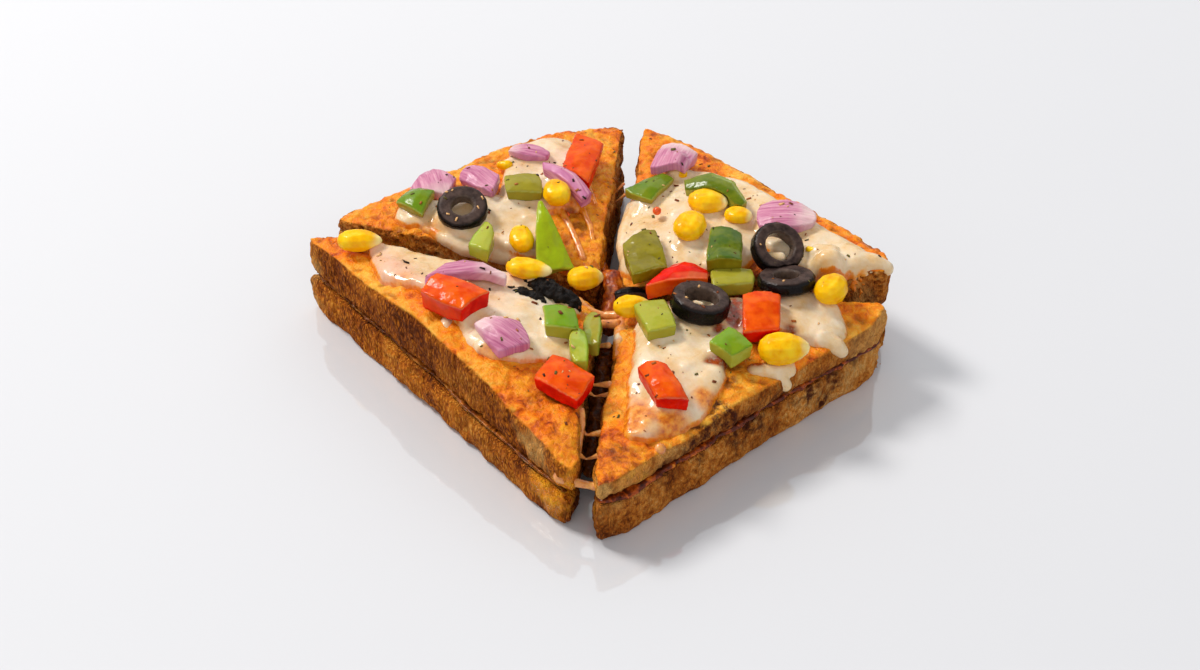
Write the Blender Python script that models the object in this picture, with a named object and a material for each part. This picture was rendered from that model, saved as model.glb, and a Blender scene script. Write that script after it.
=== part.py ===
"""Pizza toast: a toasted sandwich with cheese and vegetables on top, cut into four wedges.

Each wedge is a lower slice, a thin melted filling, an upper slice and a sheet of melted cheese. Pieces of
olive, tomato, green pepper, onion and sweetcorn lie on the cheese. The tables are in millimetres and the
meshes in metres. X runs along the front crust, Z is up, and the toast stands on Z = 0.
"""

import math
from collections import namedtuple

import bmesh
import bpy
from mathutils import Euler, Matrix, Vector, noise
from mathutils.bvhtree import BVHTree

MM = 0.001
COLLECTION = "pizza_toast"
CUTTERS = "cutters"

# Driving dimensions, millimetres
CLEARANCE = 0.3              # air between two pieces that touch
FILLING_THICKNESS = 1.2
CHEESE_THICKNESS = 1.7
CHEESE_MARGIN = 0.2          # extra air under the cheese, for the flat facets of both surfaces
OUTLINE_STEP = 7.0           # distance between outline points along a straight side
FILLING_STEP = 11.0
HEIGHT_SOFTNESS = 9.0        # blends the heights given for a wedge's top
RIM = 1.6                    # rounding of a slice's upper and lower edges
TOP_RELIEF = 0.5             # lumps of the toasted top
SIDE_RELIEF = 0.7            # ragged sides
RELIEF_SCALE = 0.11          # lumps per millimetre
FILLING_INSET = 1.1
FILLING_WANDER = 1.3
FOLLOW = {"petal": 0.9, "strip": 0.8, "chunk": 0.7, "kernel": 0, "ring": 0}    # how far each bends to its bed
BED_RISE = 1.3               # the most that a bed's rise or fall bends a topping

Wedge = namedtuple("Wedge", "name upper lower heights seam sheets lumps")
Piece = namedtuple("Piece", "kind x y size yaw pitch roll taper bend sink corners curl bulge")

# A corner is (x, y, rounding), anticlockwise. A height is (x, y, z) on the bread's top. The seam gives the
# level between the slices at the two ends of the crust and at the tip. A sheet is an outline of cheese. A lump
# is something the cheese has run over or fused to: (x, y, length, width, height, yaw).
WEDGES = (
    Wedge(
        name="front_left",
        upper=((-57.5, -50, 4), (51.5, -51, 6), (30, -31.5, 0), (8.5, -9, 3), (-50.5, -43.5, 3)),
        lower=((-59, -50.5, 6), (51.5, -52.5, 9), (9, -9.5, 3), (-53.5, -44.5, 3)),
        heights=(
            (-56, -49, 21), (-50, -44, 23), (-33, -50, 22), (-12, -50, 24.5), (15, -50, 23), (33, -50, 20),
            (52, -50, 16.5), (35, -35, 20), (8.5, -10, 18.5), (-20, -26, 22), (0, -36, 23.5),
        ),
        seam=((-56.5, -49.5, 11), (53, -51, 9), (8.5, -9, 9.5)),
        sheets=(
            ((-37, -44), (-41, -40), (-33, -34.5), (-22, -28.5), (-10, -22), (-1, -19), (-1, -37), (-9, -43),
             (-18, -43), (-24, -47.5), (-31, -47)),
            ((-9, -26), (1, -19), (12, -18), (22, -25), (27, -30), (23, -34), (19, -37), (15, -44),
             (6, -44.5), (-2, -44), (-8, -37)),
        ),
        lumps=((-2, -19.5, 6, 4.5, 3, 40), (3, -18, 6, 5, 3.4, 0), (8, -17.5, 6.5, 4.5, 3, 20),
               (-1, -26, 5, 4, 2.6, 50), (3.5, -23, 5, 3.4, 2.4, 50)),
    ),
    Wedge(
        name="front_right",
        upper=((13, -5.5, 3), (56.5, -52.5, 8), (57, 37, 4), (54.5, 42, 3)),
        lower=((13.5, -7, 3), (57.5, -54, 11), (56, 37.5, 7), (54.5, 41.5, 3)),
        heights=(
            (14, -7, 18.5), (33, -28, 18.5), (56, -50, 17), (56, -20, 16.5), (56, 10, 16.5), (56, 30, 18),
            (55, 40, 21.5), (44, 33, 22.5), (28, 12, 21.5), (42, -8, 21), (46, 15, 22),
        ),
        seam=((57, -51.5, 11), (57, 37, 11), (13, -5.5, 9.5)),
        sheets=(
            ((18, -5), (19, 1), (27, 9.5), (33, 15.5), (40, 14), (43, 3), (45, -4), (51, -8), (54, -14),
             (55, -22), (53, -33), (49.5, -37), (45, -33), (38, -25), (26, -13)),
            ((35, 17), (38, 23), (44, 29.5), (51, 30), (55.5, 27), (56.5, 21.5), (54, 17), (45, 12), (38, 11)),
        ),
        lumps=(),
    ),
    Wedge(
        name="back_left",
        upper=((-59, -40.5, 3.5), (3, -4.5, 3), (-45.5, 45.5, 3), (-51, 36, 8), (-56.5, 20, 10)),
        lower=((-59, -39.5, 5), (2.5, -4, 3), (-46, 46, 4), (-52, 36.5, 8), (-57.5, 20, 10)),
        heights=(
            (-57, -39, 21.8), (-56, -10, 22.8), (-56, 18, 23.5), (-46, 45, 22.5), (-30, 28, 22),
            (-11, 9, 20.5), (2, -4, 18.5), (-22, -18, 21), (-38, -5, 24), (-25, 8, 23),
        ),
        seam=((-57.5, -39.5, 11.5), (-45.5, 45.5, 11), (3, -4.5, 9.5)),
        sheets=(
            ((-48, -31), (-40, -27.5), (-30, -21.5), (-20, -16), (-10, -10.5), (-11, -5), (-17, -2), (-27, 0),
             (-36, -3), (-44, -18), (-50, -25)),
            ((-54, 12), (-53, 20), (-48, 28), (-43, 26), (-36, 19), (-24, 15), (-20, 8), (-27, -4), (-36, -6),
             (-46, 5)),
        ),
        lumps=((-46.3, 6.2, 5, 4, 3, 40),),
    ),
    Wedge(
        name="back_right",
        upper=((7.5, -2, 3), (50.5, 46, 3), (46, 51.4, 5), (-22, 51.8, 12), (-41, 48, 3)),
        lower=((7, -1.5, 3), (51, 46.5, 3), (46.5, 52, 6), (-22, 52.6, 12), (-41, 48.3, 4)),
        heights=(
            (-40, 47, 23.5), (-20, 50, 24.2), (10, 50.5, 25), (40, 50, 25.8), (50, 46, 25.5), (33, 27, 23.5),
            (20, 12, 22.5), (8, -1, 19), (-8, 10, 21.5), (-22, 28, 22.5), (5, 30, 25),
        ),
        seam=((50.5, 46, 12), (-40.5, 47, 11), (7.5, -2, 9.5)),
        sheets=(
            ((-16, 19.5), (-9, 11.5), (-1, 3.2), (5, 0.8), (12, 5), (19, 12.5), (27, 22), (21, 32), (10, 43),
             (-4, 46), (-13, 42), (-17, 32)),
            ((-8, 43), (1, 48), (14, 46), (24, 47), (37, 46), (46, 47), (48, 44), (42, 36.5), (35, 30),
             (24, 29), (6, 36)),
        ),
        lumps=((-13, 35, 7, 5.5, 4.5, 50), (39.5, 36, 9, 7, 5.5, 60)),
    ),
)

# How far each ring of a body lies in from the outline: a scale about the middle, an inset in millimetres
# and a level, from 1 at the top face to 0 at the bottom face. A level's third number is added in millimetres.
UPPER_RINGS = (
    (0.34, 0, 1, 0), (0.66, 0, 1, 0), (0.9, 0, 1, 0), (1, 0.6, 1, -0.6), (1, 0, 1, -2.4), (1, 0.2, 0, RIM),
    (1, 1.2, 0, 0), (0.5, 0, 0, 0),
)
LOWER_RINGS = ((0.5, 0, 1, 0), (1, 1.2, 1, 0), (1, 0.1, 1, -RIM), (1, 0, 0, RIM), (1, 1.3, 0, 0), (0.5, 0, 0, 0))
FILLING_RINGS = ((0.5, 0, 1, 0), (1, 0, 1, -0.2), (1, 0, 0, 0.2), (0.5, 0, 0, 0))
CHEESE_RINGS = (
    (0.36, 0, 1, 0), (0.68, 0, 1, 0), (0.9, 0, 1, -0.3), (1, 0, 0.35, 0), (1, 0.7, 0, 0), (0.68, 0, 0, 0),
    (0.36, 0, 0, 0),
)

COLOURS = {
    "bread": ((0.72, 0.36, 0.12), 0.8),
    "filling": ((0.80, 0.45, 0.12), 0.4),
    "cheese": ((0.90, 0.76, 0.55), 0.35),
    "olive": ((0.025, 0.018, 0.022), 0.3),
    "tomato": ((0.80, 0.10, 0.02), 0.25),
    "pepper": ((0.22, 0.42, 0.04), 0.3),
    "onion": ((0.58, 0.27, 0.45), 0.35),
    "corn": ((0.95, 0.62, 0.03), 0.3),
}


def piece(kind, at, size, yaw, pitch=0, roll=0, taper=0.0, bend=0.0, sink=0.6, curl=0.0):
    """One topping. Pitch lifts its far end and roll its left side; it sinks into what it lies on."""
    return Piece(kind, at[0], at[1], size, yaw, pitch, roll, taper, bend, sink, (), curl, 0.0)


def cut(kind, corners, thickness, pitch=0, roll=0, bend=0.4, curl=0.0, bulge=0.08, sink=0.6):
    """A topping with the given corners in plan, anticlockwise; its length runs along the first side."""
    first, second, third, fourth = [Vector(c) for c in corners]
    middle = (first + second + third + fourth) / 4
    along = (second + third - first - fourth) / 2
    across = (third + fourth - first - second) / 2
    yaw = math.degrees(math.atan2(along.y, along.x))
    turned = Matrix.Rotation(math.radians(-yaw), 2)
    local = tuple(turned @ (Vector(c) - middle) for c in corners)
    size = (along.length, across.length, thickness)
    return Piece(kind, middle.x, middle.y, size, yaw, pitch, roll, 0.0, bend, sink, local, curl, bulge)


# Size is length, width and thickness. Yaw turns the length from +X. A ring's taper is its hole's share of the
# width. Curl bows a piece in plan, and bulge widens its middle.
PIECES = {
    # back left wedge
    "onion_1": cut("petal", ((-53, -21), (-43.5, -15.5), (-49, -8.5), (-57.5, -12.5)), 2.6, bend=1.2, bulge=0.1),
    "onion_2": cut("petal", ((-47, -9.5), (-34, -8.5), (-39, -2), (-50, -4.5)), 2.6, roll=8, bend=1.2, bulge=0.1),
    "onion_3": piece("petal", (-44.9, 11.9), (11, 7, 2.0), 36, bend=0.6, taper=0.3),
    "onion_4": cut("strip", ((-36, 9), (-18.5, 8.5), (-19, 12), (-38, 11)), 3, bend=1, curl=0.8, bulge=0.3),
    "pepper_1": cut("chunk", ((-49, -27.5), (-39.5, -26), (-45, -18), (-50.5, -21.5)), 2.6, roll=4, bend=0.8),
    "pepper_2": piece("chunk", (-32.2, 0), (9.2, 8, 3.4), 57, bend=0.3),
    "corn_2": piece("kernel", (-25.2, 5.2), (9.4, 8, 6.4), 150),
    "tomato_1": cut("chunk", ((-33, 13.5), (-23.5, 14.5), (-34.5, 28.5), (-42.5, 25.5)), 2.8, roll=4, bend=0.5, sink=0.3),
    "pepper_3": cut("chunk", ((-20.5, -25.5), (-15, -24), (-20.5, -18), (-26, -16.5)), 4),
    "corn_3": piece("kernel", (-16.8, -12.6), (10, 6.8, 5.6), 150),
    "pepper_4": piece("chunk", (-12.4, -8), (18.5, 10, 4), 155, pitch=30, bend=0.8, taper=0.85, sink=1.5),
    "olive_1": piece("ring", (-34, -17.6), (12.6, 12.6, 3.4), 50, roll=24, taper=0.45, sink=1),
    # back right wedge
    "onion_7": cut("petal", ((-17.5, 29.5), (-9.5, 35), (-14.5, 44), (-23.5, 39.5)), 2.6, bend=1.1, bulge=0.1, sink=0.2),
    "pepper_5": cut("chunk", ((-16, 19.5), (-7, 21), (-10.5, 32), (-15.5, 30)), 2.2, bend=0.7),
    "pepper_6": cut("chunk", ((-3, 28.5), (12.5, 33), (12, 36), (-6.5, 31.5)), 3, roll=6, bend=1.4, curl=3.2, bulge=0.8),
    "corn_6": piece("kernel", (4.6, 29.4), (10, 8.8, 6), 45),
    "corn_7": piece("kernel", (8.6, 19.8), (10.8, 9, 6.2), 120),
    "corn_8": piece("kernel", (13, 31.8), (7, 6.4, 4.4), 40),
    "pepper_7": cut("chunk", ((13.5, -3), (15.5, 6.5), (3.5, 13), (1.5, 4)), 3.6),
    "pepper_8": cut("chunk", ((21.5, 13), (28, 19), (20, 26), (13.5, 22)), 3.8),
    "onion_8": piece("petal", (21.8, 39.6), (14.6, 11, 2.6), 44, roll=4, bend=1.1, taper=0.2),
    "olive_2": piece("ring", (29, 29.2), (13, 13, 4), 80, roll=36, taper=0.58, sink=2.4),
    "tomato_4": cut("chunk", ((17.5, -3), (25, 10.5), (22, 13), (15.5, 8)), 4.4, bend=1.5, sink=0.4),
    "pepper_9": piece("chunk", (28, 15.7), (10, 6.8, 3.4), 52, bend=0.4, taper=0.15),
    # front left wedge
    "corn_1": piece("kernel", (-41, -43.5), (11, 7.8, 6), 48, taper=0.2),
    "onion_5": cut("petal", ((-12.5, -44), (-2.5, -27.5), (-5, -26.5), (-15, -42)), 2.4, bend=1.2, curl=3.5, bulge=0.8, sink=-0.2),
    "tomato_2": cut("chunk", ((-10.5, -47), (2, -44), (1.5, -35.5), (-12.5, -40.5)), 4.6, bend=0.5, sink=0.4),
    "corn_4": piece("kernel", (-4.4, -19.8), (11.3, 7.6, 5.6), 36, taper=0.3),
    "onion_6": cut("petal", ((16, -44.5), (18.5, -37), (11, -34.5), (5, -43.5)), 2.4, bend=1.0, bulge=0.12),
    "pepper_12": cut("chunk", ((16.5, -31.5), (22, -26), (15.5, -22), (10.5, -27.5)), 4),
    "tomato_3": cut("chunk", ((26, -42.5), (37.5, -39.5), (34, -31.5), (22.5, -34.5)), 3.8, bend=0.5),
    "pepper_14": piece("strip", (24.6, -28.7), (11, 4.0, 3.8), 142, bend=0.4, taper=0.2, curl=0.4),
    "pepper_13": piece("strip", (19.2, -20.2), (13, 4.0, 4.2), 137, bend=0.4, taper=0.2, curl=0.4),
    "corn_5": piece("kernel", (0.8, -6.8), (8.8, 8, 6), 60, sink=0),
    # front right wedge
    "olive_5": piece("strip", (11, -1), (8, 3.4, 2.6), 50, bend=0.6, taper=0.3, curl=0.6),
    "corn_11": piece("kernel", (18.5, -7.5), (8.6, 7, 5.6), 60),
    "pepper_10": cut("chunk", ((21, -9), (31.5, -14), (34.5, -8), (24.5, -2.5)), 4, bulge=0),
    "olive_4": piece("ring", (31, 2.5), (14, 14, 4.4), 50, pitch=-10, roll=-4, taper=0.58, sink=1),
    "tomato_5": cut("chunk", ((44.5, 3.5), (49, 10.5), (41.5, 18), (35.5, 11.5)), 3.8, roll=4, bend=0.6),
    "pepper_11": cut("chunk", ((43, -6), (49, -4.5), (49, 2), (41.5, 1.5)), 3.6),
    "olive_3": piece("ring", (37.6, 24), (13.6, 13.6, 3.2), 50, roll=-14, pitch=3, taper=0.44, sink=0.4),
    "corn_9": piece("kernel", (47, 29.3), (9.6, 8.6, 7.4), 110),
    "corn_10": piece("kernel", (52.5, 8.5), (11.8, 9.6, 9.2), 52, taper=0.3),
    "tomato_6": cut("chunk", ((48.5, -26.5), (53, -21), (41.5, -17.5), (37.5, -22.5)), 3.6, bend=0.8),
}


# A piece and the piece pressed into it
CARVED = (
    ("olive_2", "olive_3"), ("pepper_6", "corn_6"), ("pepper_6", "corn_8"), ("pepper_8", "pepper_9"),
    ("pepper_12", "pepper_14"), ("onion_4", "corn_2"), ("onion_5", "tomato_2"),
)


# ---- collections and materials

def clear_scene():
    """Remove what the file opens with."""
    for item in list(bpy.data.objects):
        bpy.data.objects.remove(item, do_unlink=True)


def new_collection(name):
    collection = bpy.data.collections.new(name)
    bpy.context.scene.collection.children.link(collection)
    return collection


def food_material(name, shade):
    """A Principled BSDF with the food's own colour and gloss."""
    colour, roughness = COLOURS[shade]
    material = bpy.data.materials.new(name)
    material.use_nodes = True
    shader = material.node_tree.nodes["Principled BSDF"]
    shader.inputs["Base Color"].default_value = (*colour, 1)
    shader.inputs["Roughness"].default_value = roughness
    shader.inputs["Metallic"].default_value = 0
    material.diffuse_color = (*colour, 1)
    return material


def add_object(name, mesh, shade, collection):
    """Turn a bmesh in metres into a named object with its own material."""
    data = bpy.data.meshes.new(name)
    bmesh.ops.triangulate(mesh, faces=mesh.faces)
    mesh.to_mesh(data)
    mesh.free()
    data.shade_smooth()
    data.set_sharp_from_angle(angle=math.radians(40))
    data.materials.append(food_material(name, shade))
    item = bpy.data.objects.new(name, data)
    collection.objects.link(item)
    return item


# ---- outlines and levels, millimetres

def neighbours(points):
    return zip(points[-1:] + points[:-1], points, points[1:] + points[:1])


def rounded_outline(corners, step):
    """Points round a polygon with rounded corners, anticlockwise: three to a corner, and more between."""
    points = []
    turns = []
    for before, corner, after in neighbours([Vector(c[:2]) for c in corners]):
        reach = corners[len(turns)][2]
        start = corner + (before - corner).normalized() * reach
        end = corner + (after - corner).normalized() * reach
        middle = (start + end + 2 * corner) / 4
        turns.append((start, middle, end))
    for (start, middle, end), (following, _, _) in zip(turns, turns[1:] + turns[:1]):
        points += [start, middle]
        run = following - end
        parts = max(1, round(run.length / step))
        points += [end + run * part / parts for part in range(parts)]
    return points


def ragged(points, amount, seed):
    """The same points, moved out and in by a smooth noise."""
    moved = []
    for before, point, after in neighbours(points):
        along = (after - before).normalized()
        outward = Vector((along.y, -along.x))
        wave = noise.noise(Vector((point.x * 0.2, point.y * 0.2, seed)))
        moved.append(point + outward * wave * amount)
    return moved


def middle_of(points):
    return sum(points, Vector((0, 0))) / len(points)


def bread_height(wedge, x, y):
    """Height of the toasted top: a weighted mean of the wedge's named heights, with lumps."""
    total = 0
    weights = 0
    for px, py, pz in wedge.heights:
        weight = ((x - px) ** 2 + (y - py) ** 2 + HEIGHT_SOFTNESS ** 2) ** -2
        total += weight * pz
        weights += weight
    lumps = noise.noise(Vector((x, y, 3)) * RELIEF_SCALE)
    return total / weights + lumps * TOP_RELIEF


def seam_height(wedge, x, y):
    """Level of the flat seam between the two slices."""
    first, second, third = [Vector(p) for p in wedge.seam]
    normal = (second - first).cross(third - first)
    return first.z - (normal.x * (x - first.x) + normal.y * (y - first.y)) / normal.z


# ---- bodies made from a sphere's rings

def ring_body(outline, rings, top, bottom):
    """A closed body. The sphere's rings follow the outline, inset and set level as the rings say."""
    count = len(outline)
    last = len(rings) + 1
    centre = middle_of(outline)
    mesh = bmesh.new()
    bmesh.ops.create_uvsphere(mesh, u_segments=count, v_segments=last, radius=1)
    for vertex in mesh.verts:
        ring = round(math.acos(max(-1, min(1, vertex.co.z))) / math.pi * last)
        if ring in (0, last):
            x, y = centre
            level = 1 if ring == 0 else 0
            extra = 0
        else:
            scale, inset, level, extra = rings[ring - 1]
            segment = round(math.atan2(vertex.co.y, vertex.co.x) / math.tau * count) % count
            arm = outline[segment] - centre
            x, y = centre + arm * scale - arm.normalized() * inset
        low = bottom(x, y)
        vertex.co = Vector((x, y, low + level * (top(x, y) - low) + extra)) * MM
    return mesh


def slice_pair(wedge, seed, collection):
    """The two slices of bread of one wedge, with the melted filling between them."""
    half = FILLING_THICKNESS / 2
    upper_edge = ragged(rounded_outline(wedge.upper, OUTLINE_STEP), SIDE_RELIEF, seed)
    lower_edge = ragged(rounded_outline(wedge.lower, OUTLINE_STEP), SIDE_RELIEF, seed + 0.5)
    filling_edge = rounded_outline(wedge.lower, FILLING_STEP)
    centre = middle_of(filling_edge)
    filling_edge = [p - (p - centre).normalized() * FILLING_INSET for p in filling_edge]
    filling_edge = ragged(filling_edge, FILLING_WANDER, seed + 0.7)

    def seam(offset):
        return lambda x, y: seam_height(wedge, x, y) + offset

    def top(x, y):
        return bread_height(wedge, x, y)

    lower = ring_body(lower_edge, LOWER_RINGS, seam(-half - CLEARANCE), lambda x, y: 0)
    filling = ring_body(filling_edge, FILLING_RINGS, seam(half), seam(-half))
    upper = ring_body(upper_edge, UPPER_RINGS, top, seam(half + CLEARANCE))
    add_object(wedge.name + "_slice_lower", lower, "bread", collection)
    add_object(wedge.name + "_filling", filling, "filling", collection)
    return add_object(wedge.name + "_slice_upper", upper, "bread", collection)


# ---- what lies on what

def tree_of(item):
    return BVHTree.FromPolygons(
        [item.matrix_world @ v.co for v in item.data.vertices],
        [tuple(p.vertices) for p in item.data.polygons],
    )


def support(trees, x, y, reach=0.0):
    """Height in metres of the highest surface at a point, or near it; None over nothing."""
    highest = None
    around = [(0, 0)]
    if reach:
        around += [(reach * math.cos(a), reach * math.sin(a)) for a in (0.5, 1.55, 2.6, 3.65, 4.7, 5.75)]
    for dx, dy in around:
        for tree in trees:
            place, _, _, _ = tree.ray_cast(Vector((x + dx, y + dy, 0.1)), Vector((0, 0, -1)))
            if place is not None and (highest is None or place.z > highest):
                highest = place.z
    return highest


def sheet_outline(points, seed):
    """A smooth closed outline through a sheet's points, with a wavy melted edge."""
    corners = [Vector(p) for p in points]
    middle = middle_of(corners)
    if sum(a.cross(b) for a, b in zip(corners, corners[1:] + corners[:1])) < 0:
        corners.reverse()
    smooth = []
    for before, point, after in neighbours(corners):
        smooth.append((before + 6 * point + after) / 8)
        smooth.append((point + after) / 2)
    shrunk = [p - (p - middle).normalized() * 0.4 for p in smooth]
    return ragged(shrunk, 0.9, seed)


def melt_cheese(wedge, seed, bread, collection):
    """The wedge's cheese: overlapping sheets that follow the bread, joined into one body."""
    tree = tree_of(bread)

    def under(x, y):
        level = support([tree], x * MM, y * MM, 0.8 * MM)
        if level is None:
            return bread_height(wedge, x, y) + CLEARANCE + CHEESE_MARGIN
        return level / MM + CLEARANCE + CHEESE_MARGIN

    def over(x, y):
        swell = noise.noise(Vector((x, y, seed)) * 0.17)
        return under(x, y) + CHEESE_THICKNESS + swell * 0.7

    sheets = []
    for number, points in enumerate(wedge.sheets):
        body = ring_body(sheet_outline(points, seed + number), CHEESE_RINGS, over, under)
        sheets.append(add_object(f"{wedge.name}_cheese", body, "cheese", collection))
    for lump in wedge.lumps:
        sheets.append(melt_lump(lump, tree, wedge.name, collection))
    first, *others = sheets
    for other in others:
        union(first, other)
    first.name = f"{wedge.name}_cheese"
    return first


def melt_lump(lump, tree, name, collection):
    """A rounded lump standing in the cheese, its foot flattened clear of the bread."""
    x, y, length, width, height, yaw = lump
    mesh = bmesh.new()
    bmesh.ops.create_uvsphere(mesh, u_segments=8, v_segments=6, radius=0.5 * MM)
    bmesh.ops.scale(mesh, vec=(length, width, height * 2), verts=mesh.verts)
    bmesh.ops.rotate(mesh, verts=mesh.verts, matrix=Matrix.Rotation(math.radians(yaw), 3, "Z"))
    foot = support([tree], x * MM, y * MM, 1.5 * MM) + (CLEARANCE + CHEESE_MARGIN) * MM
    for vertex in mesh.verts:
        vertex.co += Vector((x * MM, y * MM, foot))
        vertex.co.z = max(vertex.co.z, foot + 0.35 * MM)
    return add_object(name + "_lump", mesh, "cheese", collection)


def apply_boolean(item, operation, tool):
    """Cut or join, then keep the result as the object's own mesh."""
    modifier = item.modifiers.new("boolean", "BOOLEAN")
    modifier.operation = operation
    modifier.solver = "EXACT"
    modifier.object = tool
    graph = bpy.context.evaluated_depsgraph_get()
    result = bpy.data.meshes.new_from_object(item.evaluated_get(graph))
    item.modifiers.remove(modifier)
    old = item.data
    item.data = result
    bpy.data.meshes.remove(old)


def union(item, other):
    apply_boolean(item, "UNION", other)
    bpy.data.objects.remove(other, do_unlink=True)


# ---- toppings, millimetres in their own frame: length along x, width along y

def unit_box(cuts_x, cuts_y):
    """A cube of side 2 with extra edge loops across its length and width."""
    mesh = bmesh.new()
    bmesh.ops.create_cube(mesh, size=2)
    for axis, cuts in ((0, cuts_x), (1, cuts_y)):
        along = [e for e in mesh.edges if abs(e.verts[0].co[axis] - e.verts[1].co[axis]) > 1.5]
        bmesh.ops.subdivide_edges(mesh, edges=along, cuts=cuts, use_grid_fill=True)
    return mesh


def wobble(x, y, z):
    """A small repeatable shift, different at each place."""
    return Vector((noise.noise(Vector((x + far, y, z)) * 0.9) for far in (0, 40, 80)))


def plan(spec, u, v, point):
    """Where a place on the unit box comes in the piece's plan, along its length and across it."""
    length, width, _ = spec.size
    if not spec.corners:
        narrow = 1 - spec.taper * (u + 1) / 2 - point * u * u
        return u * length / 2, v * width / 2 * narrow - spec.curl * u * u
    first, second, third, fourth = spec.corners
    right = first + (second - first) * (u + 1) / 2
    left = fourth + (third - fourth) * (u + 1) / 2
    place = (right + left) / 2 + (left - right) / 2 * v * (1 + spec.bulge * (1 - u * u))
    return place.x, place.y + spec.curl * (1 - u * u)


def shape_chunk(mesh, spec, seed, corner_pull=0.06, underside=0.92, point=0.0):
    """A cut piece of vegetable: uneven, crowned, narrower towards its taper."""
    thickness = spec.size[2]
    for vertex in mesh.verts:
        u, v, w = vertex.co
        pull = 1 - corner_pull * (u * v) ** 2
        foot = 1 if w > 0 else underside
        x, y = [part * pull * foot for part in plan(spec, u, v, point)]
        z = w * thickness / 2 - spec.bend * (u * u + 0.4 * v * v) + spec.bend * 0.5
        vertex.co = (Vector((x, y, z)) + wobble(u + seed, v, w) * 0.35) * MM


def chunk(spec, seed):
    mesh = unit_box(2, 2)
    shape_chunk(mesh, spec, seed, corner_pull=0.02 if spec.corners else 0.06)
    return mesh


def petal(spec, seed):
    """A curved layer of onion, thin, with pointed ends."""
    mesh = unit_box(3, 2)
    shape_chunk(mesh, spec, seed, corner_pull=0.05 if spec.corners else 0.12, underside=0.96, point=0.2)
    return mesh


def strip(spec, seed):
    """A narrow strip, curved in plan."""
    mesh = unit_box(4, 1)
    shape_chunk(mesh, spec, seed, underside=0.95, point=0.25)
    return mesh


def kernel(spec, seed):
    """A sweetcorn kernel: plump at one end, narrower towards the tip it grew from."""
    length, width, thickness = spec.size
    mesh = bmesh.new()
    bmesh.ops.create_uvsphere(mesh, u_segments=10, v_segments=7, radius=1)
    bmesh.ops.rotate(mesh, verts=mesh.verts, matrix=Matrix.Rotation(math.pi / 2, 3, "Y"))
    for vertex in mesh.verts:
        u, v, w = vertex.co
        narrow = 1 - (0.22 + spec.taper * 0.5) * (u + 1) / 2
        reach = 1 + 0.06 * noise.noise(Vector((u + seed, v, w)))
        vertex.co = Vector((
            u * length / 2,
            v * width / 2 * narrow * reach,
            w * thickness / 2 * narrow * reach,
        )) * MM
    return mesh


def ring(spec, seed):
    """A slice of olive with its stone's hole: a profile turned about the olive's axis."""
    outer = spec.size[0] / 2
    hole = outer * spec.taper
    half = spec.size[2] / 2
    round_off = 0.7
    profile = (
        (hole, half - 0.3), (hole + 0.5, half), (outer - round_off, half), (outer, half - round_off),
        (outer, -half + round_off), (outer - round_off, -half), (hole + 0.3, -half),
    )
    turns = 16
    mesh = bmesh.new()
    verts = [mesh.verts.new((r * MM, 0, z * MM)) for r, z in profile]
    edges = [mesh.edges.new((a, b)) for a, b in zip(verts, verts[1:] + verts[:1])]
    bmesh.ops.spin(mesh, geom=verts + edges, axis=(0, 0, 1), cent=(0, 0, 0), angle=math.tau, steps=turns)
    bmesh.ops.remove_doubles(mesh, verts=mesh.verts, dist=0.02 * MM)
    bmesh.ops.recalc_face_normals(mesh, faces=mesh.faces)
    for vertex in mesh.verts:
        x, y, _ = vertex.co / MM
        out_of_round = 1 + 0.04 * noise.noise(Vector((x * 0.1, y * 0.1, seed)))
        vertex.co.x *= out_of_round
        vertex.co.y *= out_of_round * 0.97
    return mesh


SHAPES = {"chunk": chunk, "petal": petal, "strip": strip, "kernel": kernel, "ring": ring}


def seat(mesh, spec, trees):
    """Turn a topping, lower it onto what lies under it, and press its underside to that shape."""
    turn = Euler((math.radians(spec.roll), math.radians(-spec.pitch), 0)).to_matrix()
    yaw = Matrix.Rotation(math.radians(spec.yaw), 3, "Z")
    bmesh.ops.transform(mesh, matrix=(yaw @ turn).to_4x4(), verts=mesh.verts)
    level = support(trees, spec.x * MM, spec.y * MM, 2 * MM)
    floors = {}
    for vertex in mesh.verts:
        vertex.co.x += spec.x * MM
        vertex.co.y += spec.y * MM
        floor = support(trees, vertex.co.x, vertex.co.y, 0.9 * MM)
        floors[vertex] = floor
        if None not in (floor, level):
            slope = max(-BED_RISE * MM, min(BED_RISE * MM, floor - level))
            vertex.co.z += slope * FOLLOW[spec.kind]
    gaps = [v.co.z - floor for v, floor in floors.items() if floor is not None]
    drop = min(gaps) + spec.sink * MM
    for vertex, floor in floors.items():
        vertex.co.z -= drop
        if floor is not None:
            vertex.co.z = max(vertex.co.z, floor + CLEARANCE * MM)


def add_topping(name, spec, seed, trees, collection):
    mesh = SHAPES[spec.kind](spec, seed)
    seat(mesh, spec, trees)
    return add_object(name, mesh, name.split("_")[0], collection)


def carve(collection, cutters, name, by):
    """Cut a piece back where another lies against it, leaving the usual air between them."""
    tool = collection.objects[by].copy()
    tool.data = tool.data.copy()
    tool.data.materials.clear()
    cutters.objects.link(tool)
    tool.hide_render = True
    tool.display_type = "WIRE"
    for vertex in tool.data.vertices:
        vertex.co += vertex.normal * 1.2 * CLEARANCE * MM
    apply_boolean(collection.objects[name], "DIFFERENCE", tool)
    bpy.data.objects.remove(tool, do_unlink=True)


def recentre(collection):
    """Move everything so that the origin lies on the floor under the middle of the whole."""
    corners = [v.co for item in collection.objects for v in item.data.vertices]
    low = Vector(min(c[i] for c in corners) for i in range(3))
    high = Vector(max(c[i] for c in corners) for i in range(3))
    offset = Vector(((low.x + high.x) / 2, (low.y + high.y) / 2, low.z))
    for item in collection.objects:
        item.data.transform(Matrix.Translation(-offset))


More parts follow.
